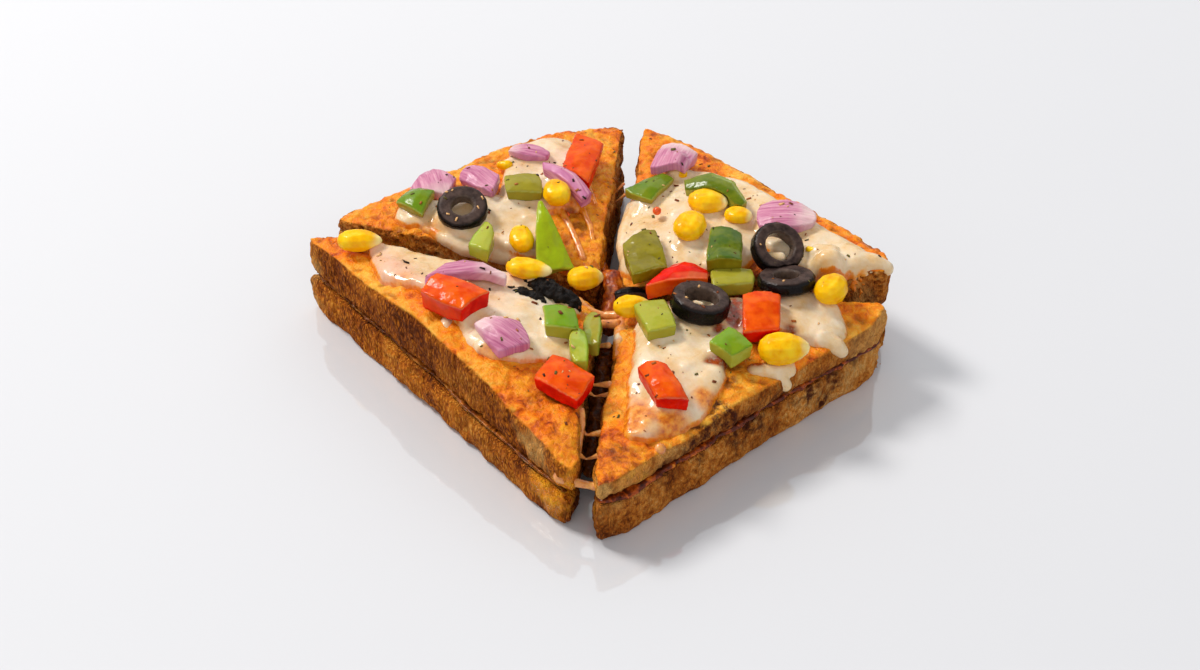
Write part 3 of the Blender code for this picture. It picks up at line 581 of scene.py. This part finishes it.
def filling_material():
    """Melted cheese and sauce between the slices; the stored dark says how much of it is sauce."""
    s = Shader("filling")
    swirls = s.math("MULTIPLY", s.noise(3, 4, warp=0.6), 0.7)
    value = s.math("ADD", swirls, s.math("MULTIPLY", s.noise(0.9, 3), 0.3))
    light = s.ramp(
        value, (0.32, (0.1, 0.018, 0.002)), (0.44, (0.36, 0.09, 0.008)), (0.56, (0.78, 0.3, 0.03)),
        (0.72, (0.9, 0.52, 0.12)),
    )
    deep = s.ramp(
        value, (0.36, (0.025, 0.004, 0.001)), (0.5, (0.14, 0.018, 0.002)), (0.6, (0.5, 0.09, 0.005)),
        (0.7, (0.88, 0.32, 0.02)),
    )
    return s.finish(
        base_color=s.mix(s.stored("dark"), light, deep), roughness=0.34, normal=s.bump(value, 0.5),
        subsurface_weight=0.1, subsurface_radius=(1.0, 0.5, 0.2), subsurface_scale=0.001,
        specular_ior_level=0.25,
    )


def sauce_and_gap_shade_material():
    s = Shader("sauce")
    value = s.noise(2, 4, rough=0.65)
    bright = s.ramp(
        value, (0.32, (0.22, 0.015, 0.003)), (0.48, (0.55, 0.08, 0.006)), (0.62, (0.86, 0.22, 0.01)),
        (0.78, (0.92, 0.42, 0.05)),
    )
    # The deep colour is painted shade low in the gaps
    deep = s.ramp(
        value, (0.35, (0.05, 0.011, 0.002)), (0.55, (0.2, 0.045, 0.005)), (0.72, (0.5, 0.16, 0.012)),
    )
    return s.finish(
        base_color=s.mix(s.stored("dark"), bright, deep), roughness=0.24, normal=s.bump(value, 0.5),
        subsurface_weight=0.1, subsurface_radius=(1.0, 0.3, 0.1), subsurface_scale=0.001,
        specular_ior_level=0.3,
    )


def tomato_material():
    s = Shader("tomato")
    soft = s.noise(3, 3)
    skin = s.ramp(soft, (0.35, (0.72, 0.05, 0.001)), (0.65, (0.86, 0.12, 0.003)))
    flesh = s.ramp(soft, (0.35, (0.6, 0.003, 0.001)), (0.65, (0.85, 0.012, 0.002)))
    colour = s.mix(s.stored("skin"), flesh, skin)
    # Rims painted lighter: painted highlight; the small tomato bits take the same mix as a plain orange tint
    colour = s.mix(s.math("MULTIPLY", s.stored("edge"), 0.4), colour, (0.9, 0.24, 0.09))
    return s.finish(
        base_color=colour, roughness=0.17, normal=s.bump(s.noise(2.2, 2), 0.12), subsurface_weight=0.12,
        subsurface_radius=(1.0, 0.15, 0.05), subsurface_scale=0.0014,
        specular_ior_level=s.range(s.stored("edge"), 0, 1, 0.1, 0.45),
    )


def pepper_material():
    s = Shader("pepper")
    soft = s.noise(3.5, 3)
    tint = s.stored("tint")
    skin = s.ramp(
        tint, (0.0, (0.05, 0.11, 0.003)), (0.35, (0.11, 0.16, 0.004)), (0.65, (0.14, 0.3, 0.007)),
        (1.0, (0.36, 0.48, 0.006)),
    )
    skin = s.mix(s.range(soft, 0.35, 0.7, 0.0, 0.4), skin, (0.26, 0.27, 0.006))
    flesh = s.ramp(tint, (0.0, (0.2, 0.16, 0.002)), (0.5, (0.36, 0.31, 0.03)), (1.0, (0.42, 0.52, 0.04)))
    flesh = s.mix(s.math("MULTIPLY", s.range(soft, 0.35, 0.7), 0.4), flesh, (0.42, 0.35, 0.02))
    colour = s.mix(s.stored("skin"), flesh, skin)
    # Rims painted a lighter green: painted highlight
    colour = s.mix(s.math("MULTIPLY", s.stored("edge"), 0.5), colour, (0.5, 0.58, 0.08))
    return s.finish(
        base_color=colour, roughness=0.2, normal=s.bump(s.noise(2.4, 2), 0.14), subsurface_weight=0.12,
        subsurface_radius=(0.6, 1.0, 0.1), subsurface_scale=0.0014,
        specular_ior_level=s.range(s.stored("edge"), 0, 1, 0.2, 0.5),
    )


def onion_material():
    s = Shader("onion")
    across = s.stored("across")
    along = s.stored("along")
    lines = s.node("CombineXYZ", s.math("MULTIPLY", across, 1.4), s.math("MULTIPLY", along, 0.1), 0.0)
    streak = s.noise(1, 4, vector=lines.outputs[0], rough=0.6)
    colour = s.ramp(
        streak, (0.3, (0.4, 0.09, 0.2)), (0.45, (0.56, 0.19, 0.31)), (0.58, (0.66, 0.28, 0.39)),
        (0.78, (0.84, 0.55, 0.6)),
    )
    colour = s.mix(s.math("MULTIPLY", s.stored("pale"), 0.75), colour, (0.88, 0.7, 0.64))
    colour = s.mix(s.math("MULTIPLY", s.stored("edge"), 0.35), colour, (0.55, 0.2, 0.42))
    return s.finish(
        base_color=colour, roughness=0.26, normal=s.bump(streak, 0.16), subsurface_weight=0.2,
        subsurface_radius=(1.0, 0.6, 0.9), subsurface_scale=0.0014, specular_ior_level=0.2,
    )


def corn_material():
    s = Shader("corn")
    soft = s.noise(3, 3)
    colour = s.ramp(soft, (0.3, (0.9, 0.38, 0.001)), (0.5, (0.98, 0.52, 0.002)), (0.75, (1, 0.66, 0.02)))
    colour = s.mix(s.stored("tip"), colour, (1, 0.82, 0.36))
    return s.finish(
        base_color=colour, roughness=0.2, normal=s.bump(s.noise(2.4, 2), 0.2), subsurface_weight=0.2,
        subsurface_radius=(1.0, 0.7, 0.06), subsurface_scale=0.0018, specular_ior_level=0.15,
    )


def olive_material():
    s = Shader("olive")
    soft = s.noise(2.2, 4, rough=0.6)
    wall = s.ramp(soft, (0.35, (0.003, 0.002, 0.002)), (0.7, (0.008, 0.005, 0.005)))
    face = s.ramp(soft, (0.3, (0.02, 0.011, 0.01)), (0.7, (0.1, 0.062, 0.05)))
    inside = s.ramp(soft, (0.3, (0.05, 0.032, 0.025)), (0.7, (0.16, 0.11, 0.085)))
    colour = s.mix(s.stored("face"), wall, face)
    colour = s.mix(s.stored("hole"), colour, inside)
    return s.finish(
        base_color=colour, roughness=s.range(s.stored("face"), 0, 1, 0.16, 0.4),
        normal=s.bump(s.noise(0.8, 4, rough=0.65), 0.15),
        specular_ior_level=s.range(s.stored("face"), 0, 1, 0.15, 0.12),
    )


def char_material():
    s = Shader("char")
    value = s.noise(0.7, 4, rough=0.7)
    colour = s.ramp(
        value, (0.4, (0.003, 0.002, 0.002)), (0.62, (0.012, 0.007, 0.005)), (0.8, (0.09, 0.04, 0.018)),
    )
    return s.finish(
        base_color=colour, roughness=s.range(value, 0.3, 0.7, 0.3, 0.7), normal=s.bump(value, 0.35),
        specular_ior_level=0.15,
    )


def fleck_material():
    """Dried herbs, chilli and pale seeds; the stored tint picks between them."""
    s = Shader("fleck")
    colour = s.ramp(
        s.stored("tint"), (0.0, (0.03, 0.01, 0.004)), (0.3, (0.2, 0.045, 0.008)), (0.5, (0.12, 0.1, 0.014)),
        (0.7, (0.42, 0.12, 0.02)), (0.9, (0.8, 0.45, 0.18)),
    )
    return s.finish(
        base_color=colour, roughness=0.5, normal=s.bump(s.noise(0.4, 2), 0.1), specular_ior_level=0.25,
    )


# ---- bread


def spots_at(points, kind):
    """How strongly the places of one kind show at each point."""
    total = np.zeros(len(points))
    waver = noise(points, 3, 61)
    for x, y, z, radius, strength in SPOTS[kind]:
        far = np.linalg.norm(points - (x, y, z), axis=1)
        total = np.maximum(total, strength * ease(radius, radius * 0.3, far + waver * radius * 0.35))
    return total


def bread_mesh(node, wedge, level, seed):
    """A slice with a toasted top, a fibrous crust and ragged cut faces."""
    mesh = refined(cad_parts[node].data, BREAD_VOXEL, 2)
    points, normals = read(mesh), read(mesh, "normal")
    outward = normals[:, :2] @ np.array(CRUSTS[wedge], float)
    top = ease(0.5, 0.85, normals[:, 2]) * (level == "upper")
    crust = ease(0.35, 0.7, outward) * (1 - top)
    cut = ease(0.4, 0.8, np.linalg.norm(normals[:, :2], axis=1)) * (1 - crust) * (1 - top)

    pores = ease(0.42, 0.12, cells(points, 2.3, seed)) * ease(-0.3, 0.3, noise(points, 7, seed + 3))
    rise = top * (
        TOP_LUMPS * layers(points, 5, seed) + TOP_GRAIN * noise(points, 1.8, seed + 5) - PORE_DEPTH * pores
    )
    strands = points + 0.7 * np.stack([noise(points, 3, seed + 30 + axis) for axis in range(3)], 1)
    foot = ease(-0.5, 3, points[:, 2])
    rise += crust * (
        FIBRE_HEIGHT * foot * noise(strands, (1.1, 1.1, 2.8), seed + 7)
        + CRUST_LUMPS * layers(points, (4, 4, 5), seed + 9)
    )
    tears = ease(0.45, 0.1, cells(points * (1, 1, 1.3), 2.1, seed + 11))
    rise += cut * (CUT_LUMPS * layers(points, (3.4, 3.4, 2), seed + 13) - TEAR_DEPTH * tears)
    write(mesh, points + normals * rise[:, None])

    crumb = np.maximum(cut, crust * 0.85) if wedge == "front_right" else cut
    tone = 0.35 * noise(points, 16, seed + 15)
    sun = 0.4 + 0.8 * noise(points, 14, seed + 17)
    # The stored pit is how far a point is pushed in; the material paints it darker as shade in the hollows
    store(mesh, top=top, crumb=crumb, pit=ease(-0.1, -0.6, rise), tone=tone, sun=sun)
    store(mesh, **{kind: spots_at(points, kind) for kind in SPOTS if kind not in ("amber", "saucy")})
    return mesh


# ---- cheese


def sampled(grid, xs, ys, points):
    """A grid's values at some points, blended between its nodes."""
    u = np.clip((points[:, 0] - xs[0]) / CHEESE_STEP, 0, len(xs) - 1.001)
    v = np.clip((points[:, 1] - ys[0]) / CHEESE_STEP, 0, len(ys) - 1.001)
    i, j = u.astype(int), v.astype(int)
    u, v = u - i, v - j
    near = grid[i, j] * (1 - v) + grid[i, j + 1] * v
    far = grid[i + 1, j] * (1 - v) + grid[i + 1, j + 1] * v
    return near * (1 - u) + far * u


def heights(tree, xs, ys, **how):
    """The surface's height at each grid node, or not a number."""
    found = [[drop(tree, x, y, **how) for y in ys] for x in xs]
    return np.array(found, float)


def cheese_mesh(wedge, bread, toppings, seed):
    """Melted cheese over the upper slice: thin stained edges, thick pools, rims round toppings, and runs."""
    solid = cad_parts[wedge + "_cheese"].data
    cad = read(solid)
    low, high = cad.min(0) - 3, cad.max(0) + 3
    xs, ys = np.arange(low[0], high[0], CHEESE_STEP), np.arange(low[1], high[1], CHEESE_STEP)
    shape = (len(xs), len(ys))
    grid = np.stack([*np.meshgrid(xs, ys, indexing="ij"), np.zeros(shape)], -1).reshape(-1, 3)
    bed = heights(bread, xs, ys)
    body = heights(tree_of(solid), xs, ys)
    under = heights(toppings, xs, ys, start=10, down=False)

    on_bread = bed > BREAD_LEVEL
    share = blurred(on_bread.astype(float), 3)
    soft_bed = blurred(np.where(on_bread, bed, 0), 3) / (share + 1e-6)
    rim = blurred(on_bread.astype(float), 1.6)
    inside = (~np.isnan(body)).astype(float)
    thickness = blurred(np.where(inside > 0, body - soft_bed, 0), 2) / (blurred(inside, 2) + 0.1)
    near = blurred(inside, 3.2)
    beside = blurred((~np.isnan(under)).astype(float), 2.2)

    ragged = (0.22 * layers(grid, 6, seed) + 0.16 * layers(grid, 2.2, seed + 4)).reshape(shape)
    edge = near + ragged + 0.12 * beside
    cover = ease(0.35, 0.62, edge)
    lumps = (CHEESE_LUMPS * layers(grid, 7, seed + 8)).reshape(shape)
    blisters = (BLISTER_HEIGHT * ease(0.5, 0.1, cells(grid, 4.2, seed + 12))).reshape(shape)
    depth = cover * (np.clip(thickness - 0.15 + lumps + blisters, 0.3, None) + CLIMB * beside)
    bed = np.where(on_bread, bed, soft_bed)
    top = soft_bed * cover + bed * (1 - cover) + depth
    top = np.where(np.isnan(under), top, np.minimum(top, np.nan_to_num(under) + 0.5))
    hang = np.clip(2 + 4 * layers(grid, 5, seed + 20), 0.4, 6).reshape(shape)
    top = blurred(top, 0.8) - ease(0.5, 0.12, rim) * hang
    keep = (edge > 0.36) & (rim > 0.12)
    floor = np.where(on_bread, np.minimum(bed, top) - SINK, top - 1.1)

    points, faces = sheet_body(grid, np.where(keep, top, floor + 0.2), floor, keep)
    runs = [np.array(line, float) for line in RUNS[wedge]]
    for line in runs:
        line[:, 2] += sampled(soft_bed, xs, ys, line)
    more, sides = beads(runs)
    faces = faces + (sides + len(points)).tolist()
    mesh = refined(build(np.concatenate([points, more]), faces), CHEESE_VOXEL, 3)
    points, normals = read(mesh), read(mesh, "normal")
    points = points + normals * (0.15 + 0.07 * layers(points, 2, seed + 30))[:, None]
    write(mesh, points)
    thick = sampled(depth, xs, ys, points) * ease(0.1, 0.45, sampled(rim, xs, ys, points))
    on_run = np.zeros(len(points))
    for x, y, z, radius in np.concatenate(runs):
        near_run = ease(radius * 2.2, radius, np.linalg.norm(points - (x, y, z), axis=1))
        on_run = np.maximum(on_run, near_run * ease(0.9, 1.6, radius))
    store(mesh, thick=np.maximum(ease(0.1, 1.6, thick), on_run), gold=spots_at(points, "amber"))
    store(mesh, saucy=np.minimum(1.7 * spots_at(points, "saucy"), 1))
    return mesh


def sheet_body(grid, top, floor, keep):
    """Points and faces of a closed body between an upper and a lower sheet, where the grid is kept."""
    rows, columns = top.shape
    count = rows * columns
    used = keep[:-1, :-1] | keep[1:, :-1] | keep[:-1, 1:] | keep[1:, 1:]
    i, j = np.nonzero(used)
    a = i * columns + j
    quads = np.stack([a, a + columns, a + columns + 1, a + 1], 1)
    edges = np.concatenate([quads[:, [k, (k + 1) % 4]] for k in range(4)])
    forward = set(map(tuple, edges.tolist()))
    walls = [(p, p + count, q + count, q) for p, q in forward if (q, p) not in forward]
    faces = quads.tolist() + (quads[:, ::-1] + count).tolist() + [tuple(reversed(w)) for w in walls]
    points = np.concatenate([grid, grid])
    points[:, 2] = np.concatenate([top.ravel(), floor.ravel()])
    named = np.unique(np.array(faces))
    number = np.zeros(2 * count, int)
    number[named] = np.arange(len(named))
    return points[named], number[np.array(faces)].tolist()


# ---- runs, bits and strings


def beads(lines):
    """Points and faces of round beads strung along lines of points; a point is x, y, z and radius."""
    ball = bmesh.new()
    bmesh.ops.create_icosphere(ball, subdivisions=2, radius=1)
    unit = np.array([v.co for v in ball.verts])
    sides = np.array([[v.index for v in f.verts] for f in ball.faces])
    ball.free()
    spots = []
    for line in lines:
        line = np.array(line, float)
        spots.append(line[0])
        for a, b in zip(line, line[1:]):
            steps = int(np.linalg.norm(b[:3] - a[:3]) / (0.45 * min(a[3], b[3]))) + 1
            spots.extend(a + (b - a) * k / steps for k in range(1, steps + 1))
    points = np.concatenate([unit * spot[3] + spot[:3] for spot in spots])
    return points, np.concatenate([sides + number * len(unit) for number in range(len(spots))])


def flow_mesh(lines, voxel, relax):
    """Beads along lines, melted into one body."""
    points, faces = beads(lines)
    return refined(build(points, faces.tolist()), voxel, relax)


def roughened(mesh, size, height, seed):
    """Lumps of about that size and height, in millimetres."""
    points = read(mesh)
    write(mesh, points + read(mesh, "normal") * (height * layers(points, size, seed))[:, None])
    return mesh


# ---- toppings


def topping_mesh(node, relax=2, voxel=TOPPING_VOXEL):
    """A topping in fine faces, its own axes, and its vertices along them."""
    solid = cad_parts[node].data
    middle, axes = own_axes(read(solid))
    mesh = refined(solid, voxel, relax)
    points, normals = read(mesh), read(mesh, "normal")
    points = points + normals * FULLER
    return mesh, points, normals, (points - middle) @ axes.T, axes


def cut_piece(node, flesh_up, tint, seed):
    """A piece of tomato or pepper: one face is skin and the others are cut."""
    mesh, points, normals, own, axes = topping_mesh(node)
    up = normals @ axes[2]
    skin = ease(0.25, 0.7, -up if flesh_up else up)
    # The edge marks the rounded rims between faces; the tomato and pepper materials paint them lighter, as
    # painted highlight
    edge = ease(0.15, 0.5, up) * ease(0.95, 0.6, up)
    rise = 0.22 * layers(points, 4, seed) + 0.03 * noise(points, 0.9, seed + 2)
    off_middle = np.hypot(*(np.abs(own[:, :2]) / np.abs(own[:, :2]).max(0)).T)
    rise += 0.5 * ease(1.25, 0, off_middle) * ease(0.2, 0.8, up) - 0.15 * edge
    write(mesh, points + normals * rise[:, None])
    store(mesh, skin=skin, edge=edge, tint=tint)
    return mesh


def onion_piece(node, pale_end, seed):
    """A layer of onion with lengthwise ribs, pale towards one end."""
    mesh, points, normals, own, axes = topping_mesh(node)
    up = normals @ axes[2]
    ribs = noise(np.stack([own[:, 0] * 0.08, own[:, 1], own[:, 0] * 0], 1), 0.9, seed)
    rise = 0.07 * ribs * ease(0.2, 0.8, np.abs(up))
    write(mesh, points + normals * rise[:, None])
    reach = np.abs(own[:, 0]).max()
    store(
        mesh, along=own[:, 0] + seed * 7, across=own[:, 1], edge=ease(0.7, 0.2, np.abs(up)),
        pale=ease(0.1, 1, own[:, 0] / reach * pale_end + 0.15 * noise(points, 2, seed)),
    )
    return mesh


def kernel_piece(node, seed):
    """A plump kernel with a dimpled face and a pale tip where it grew from the cob."""
    mesh, points, normals, own, axes = topping_mesh(node, relax=5)
    far = own[:, 0] / np.abs(own[:, 0]).max()
    wide = np.abs(own[:, 1])
    sign = 1 if wide[far > 0.55].mean() < wide[far < -0.55].mean() else -1
    far = far * sign
    dimple = ease(0.55, 0, np.hypot(far + 0.25, own[:, 1] / wide.max()))
    rise = -0.5 * dimple * ease(0.3, 0.9, normals @ axes[2])
    rise += 0.16 * layers(points, 3, seed) + 0.03 * noise(points, 0.8, seed)
    write(mesh, points + normals * rise[:, None])
    store(mesh, tip=ease(0.5, 0.95, far + 0.1 * noise(points, 1.5, seed)))
    return mesh


def olive_piece(node, seed):
    """A slice of olive: glossy wall, duller cut faces, paler inside the hole."""
    mesh, points, normals, own, axes = topping_mesh(node, relax=3, voxel=0.3)
    up = np.abs(normals @ axes[2])
    radius = np.hypot(own[:, 0], own[:, 1])
    outer = radius.max()
    face = ease(0.55, 0.9, up) * ease(outer * 0.97, outer * 0.86, radius)
    inward = ease(-0.2, -0.6, ((normals @ axes[:2].T) * own[:, :2]).sum(1) / np.maximum(radius, 0.1))
    rise = 0.06 * layers(points, 2, seed)
    write(mesh, points + normals * rise[:, None])
    store(mesh, face=face, hole=inward * ease(outer * 0.8, outer * 0.7, radius))
    return mesh


# Whether a piece of pepper lies flesh side up, and its tint from dark to bright
PEPPERS = {
    "pepper_1": (False, 0.55), "pepper_2": (True, 0.35), "pepper_3": (False, 0.8), "pepper_4": (False, 1.0),
    "pepper_5": (False, 0.45), "pepper_6": (False, 0.3), "pepper_7": (True, 0.0), "pepper_8": (False, 0.05),
    "pepper_9": (True, 0.55), "pepper_10": (True, 0.7), "pepper_11": (False, 0.7), "pepper_12": (False, 0.7),
    "pepper_13": (False, 0.4), "pepper_14": (False, 0.8),
}
# The end of an onion petal that is pale, along its length
PALE_ENDS = {"onion_1": -1, "onion_3": 1, "onion_5": -1, "onion_6": 1, "onion_7": 1, "onion_8": -1}


# ---- herbs

# Where the pale chips lie on the olives: x, y
PALE_CHIPS = (
    (-37.4, -17.6), (-36.4, -14), (-31, -13.2), (-29.6, -15.6), (-30.6, -21.6), (-33, -22.4), (-38, -19),
    (28.6, 4.8), (29, 1), (31, -1.4), (34.4, -0.4), (35.8, 2.4), (33.6, 5.6), (38, 26), (40.6, 20.4),
)


def flecks(count, seed):
    """Chips of dried herb and chilli, and pale seeds, on whatever is on top; the first are placed at the listed
    points.
    """
    rng = np.random.default_rng(seed)
    depsgraph = bpy.context.evaluated_depsgraph_get()
    scene = bpy.context.scene
    box = np.array([(x, y, z) for x in (-1, 1) for y in (-1, 1) for z in (-1, 1)], float)
    quads = ((0, 1, 3, 2), (4, 6, 7, 5), (0, 4, 5, 1), (2, 3, 7, 6), (0, 2, 6, 4), (1, 5, 7, 3))
    points, faces, tints = [], [], []
    tries = 0
    while len(tints) < count * 8:
        x, y = (rng.uniform(*span) for span in FLECK_SPAN)
        by_hand = tries < len(PALE_CHIPS)
        if by_hand:
            x, y = PALE_CHIPS[tries]
        tries += 1
        size = rng.uniform(0.22, 0.6) * rng.choice([0.6, 1, 1.4], p=[0.45, 0.4, 0.15])
        spin = rng.uniform(0, math.tau)
        tint = rng.choice([0.0, 0.3, 0.5, 0.7, 0.9], p=[0.2, 0.3, 0.15, 0.2, 0.15])
        if by_hand:
            size, tint = rng.uniform(0.4, 0.6), 0.9
        shape = box * (size, size * rng.uniform(0.3, 0.6), size * 0.25) * rng.uniform(0.55, 1.1, (8, 3))
        hit, place, normal, *_ = scene.ray_cast(depsgraph, (x * MM, y * MM, 0.06), (0, 0, -1))
        if not hit or place.z < FLECK_LOWEST or normal.z < 0.5:
            continue
        turn = np.array(Vector((0, 0, 1)).rotation_difference(normal).to_matrix())
        cos, sin = math.cos(spin), math.sin(spin)
        flat = np.array(((cos, -sin, 0), (sin, cos, 0), (0, 0, 1)))
        start = len(points)
        points.extend(shape @ flat.T @ turn.T + np.array(place) / MM + np.array(normal) * size * 0.12)
        faces.extend(tuple(start + i for i in quad) for quad in quads)
        tints.extend([tint] * 8)
    mesh = build(points, faces)
    store(mesh, tint=np.array(tints))
    return mesh


# ---- the toast


def add_toppings(materials):
    """Shows every topping, and returns their meshes."""
    meshes = []
    for seed, node in enumerate(sorted(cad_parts)):
        kind = node.split("_")[0]
        if kind == "tomato":
            mesh = cut_piece(node, False, 0.5, seed)
        elif kind == "pepper":
            mesh = cut_piece(node, *PEPPERS[node], seed)
        elif kind == "onion":
            mesh = onion_piece(node, PALE_ENDS.get(node, 0), seed)
        elif kind == "corn":
            mesh = kernel_piece(node, seed)
        elif kind == "olive":
            mesh = olive_piece(node, seed)
        else:
            continue
        meshes.append(mesh)
        show(node + "_look", mesh, materials[kind], [node])
    return meshes


def add_wedge(wedge, seed, materials, toppings):
    """Shows a wedge's slices, its filling and its cheese."""
    swell, lumps, sauce_share, pinkness = MELT[wedge]
    for level in ("upper", "lower"):
        node = f"{wedge}_slice_{level}"
        mesh = bread_mesh(node, wedge, level, seed * 40 + (level == "lower") * 20)
        show(node + "_look", mesh, materials["bread"], [node])
        if level == "upper":
            bread = tree_of(mesh)

    node = wedge + "_filling"
    mesh = refined(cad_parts[node].data, FILLING_VOXEL, 1)
    points, normals = read(mesh), read(mesh, "normal")
    write(mesh, points + normals * (1, 1, 0.2) * (swell + lumps * layers(points, 3, seed))[:, None])
    store(mesh, dark=sauce_share)
    show(node + "_look", mesh, materials["filling"], [node])

    node = wedge + "_cheese"
    mesh = cheese_mesh(wedge, bread, toppings, seed * 30 + 5)
    points = read(mesh)
    pink = pinkness * ease(-0.5, 0.5, noise(points, 16, seed)) * ease(10, -6, points[:, 0])
    store(mesh, pink=pink)
    show(node + "_look", mesh, materials["cheese"], [node])


def add_loose_things(materials):
    """Shows what lies between the wedges and on top of them."""
    strings = flow_mesh(STRINGS, 0.2, 3)
    roughened(strings, 1.6, 0.12, 3)
    gold = 0.8 * ease(26, 22, read(strings)[:, 2])
    store(strings, thick=0.8, pink=0.0, gold=gold, saucy=0.0)
    show("cheese_strings", strings, materials["cheese"])

    # Sauce in the cuts, partly a dark sheet of painted shade in the gaps, painted darker lower down
    sauce = roughened(flow_mesh(SAUCE_AND_GAP_SHADE, 0.35, 3), 2, 0.6, 5)
    store(sauce, dark=np.maximum(ease(15.5, 12.5, read(sauce)[:, 2]), 0.4))
    show("sauce", sauce, sauce_and_gap_shade_material())

    burnt = roughened(flow_mesh(BURNT, 0.22, 1), 1.3, 0.9, 11)
    show("burnt_bits", burnt, char_material())

    bits = roughened(flow_mesh(CORN_BITS, 0.25, 3), 2, 0.2, 13)
    store(bits, tip=0.0)
    show("corn_bits", bits, materials["corn"])

    bits = roughened(flow_mesh(TOMATO_BITS, 0.2, 2), 1.2, 0.2, 17)
    store(bits, skin=1.0, edge=0.6)
    show("tomato_bits", bits, materials["tomato"])

    bpy.context.view_layer.update()
    show("herb_flecks", flecks(FLECK_COUNT, 7), fleck_material())


def main():
    materials = {
        "bread": bread_material(), "filling": filling_material(), "cheese": cheese_material(),
        "olive": olive_material(), "tomato": tomato_material(), "pepper": pepper_material(),
        "onion": onion_material(), "corn": corn_material(),
    }
    toppings = tree_of(*add_toppings(materials))
    for seed, wedge in enumerate(CRUSTS):
        add_wedge(wedge, seed, materials, toppings)
    add_loose_things(materials)


def stage():
    """A pale glossy floor, soft light from the left, behind and in front, and the camera."""
    scene = bpy.context.scene
    mesh = bpy.data.meshes.new("floor")
    r = FLOOR_REACH
    mesh.from_pydata([(-r, -r, 0), (r, -r, 0), (r, r, 0), (-r, r, 0)], [], [(0, 1, 2, 3)])
    s = Shader("floor")
    tone = s.noise(900, 1)
    colour = s.ramp(tone, (0.3, (0.68, 0.685, 0.71)), (0.7, (0.71, 0.715, 0.74)))
    mesh.materials.append(s.finish(base_color=colour, roughness=0.05, specular_ior_level=0.9))
    floor = bpy.data.objects.new("floor", mesh)
    scene.collection.objects.link(floor)

    world = bpy.data.worlds.new("studio")
    world.use_nodes = True
    world.node_tree.nodes["Background"].inputs[0].default_value = WORLD_COLOUR
    world.node_tree.nodes["Background"].inputs[1].default_value = WORLD_STRENGTH
    scene.world = world
    scene.view_settings.view_transform = "Standard"

    for name, ((aside, beyond, above), width, height, power, colour) in LIGHTS.items():
        place = RIGHT * aside + AWAY * beyond + UP * above
        data = bpy.data.lights.new(name, "AREA")
        data.shape = "RECTANGLE"
        data.size = width
        data.size_y = height
        data.energy = power
        data.color = colour
        lamp = bpy.data.objects.new(name, data)
        lamp.location = place
        lamp.rotation_euler = (-place).to_track_quat("-Z", "Y").to_euler()
        scene.collection.objects.link(lamp)

    camera = bpy.data.objects.new("camera", bpy.data.cameras.new("camera"))
    camera.data.lens = LENS
    camera.data.sensor_width = SENSOR
    camera.data.clip_start = 0.01
    azimuth, elevation = math.radians(CAMERA_AZIMUTH), math.radians(CAMERA_ELEVATION)
    level = math.cos(elevation)
    back = Vector((math.sin(azimuth) * level, -math.cos(azimuth) * level, math.sin(elevation)))
    camera.location = (Vector(CAMERA_TARGET) + back * CAMERA_DISTANCE) * MM
    camera.rotation_euler = (-back).to_track_quat("-Z", "Y").to_euler()
    scene.collection.objects.link(camera)
    scene.camera = camera


main()
stage()
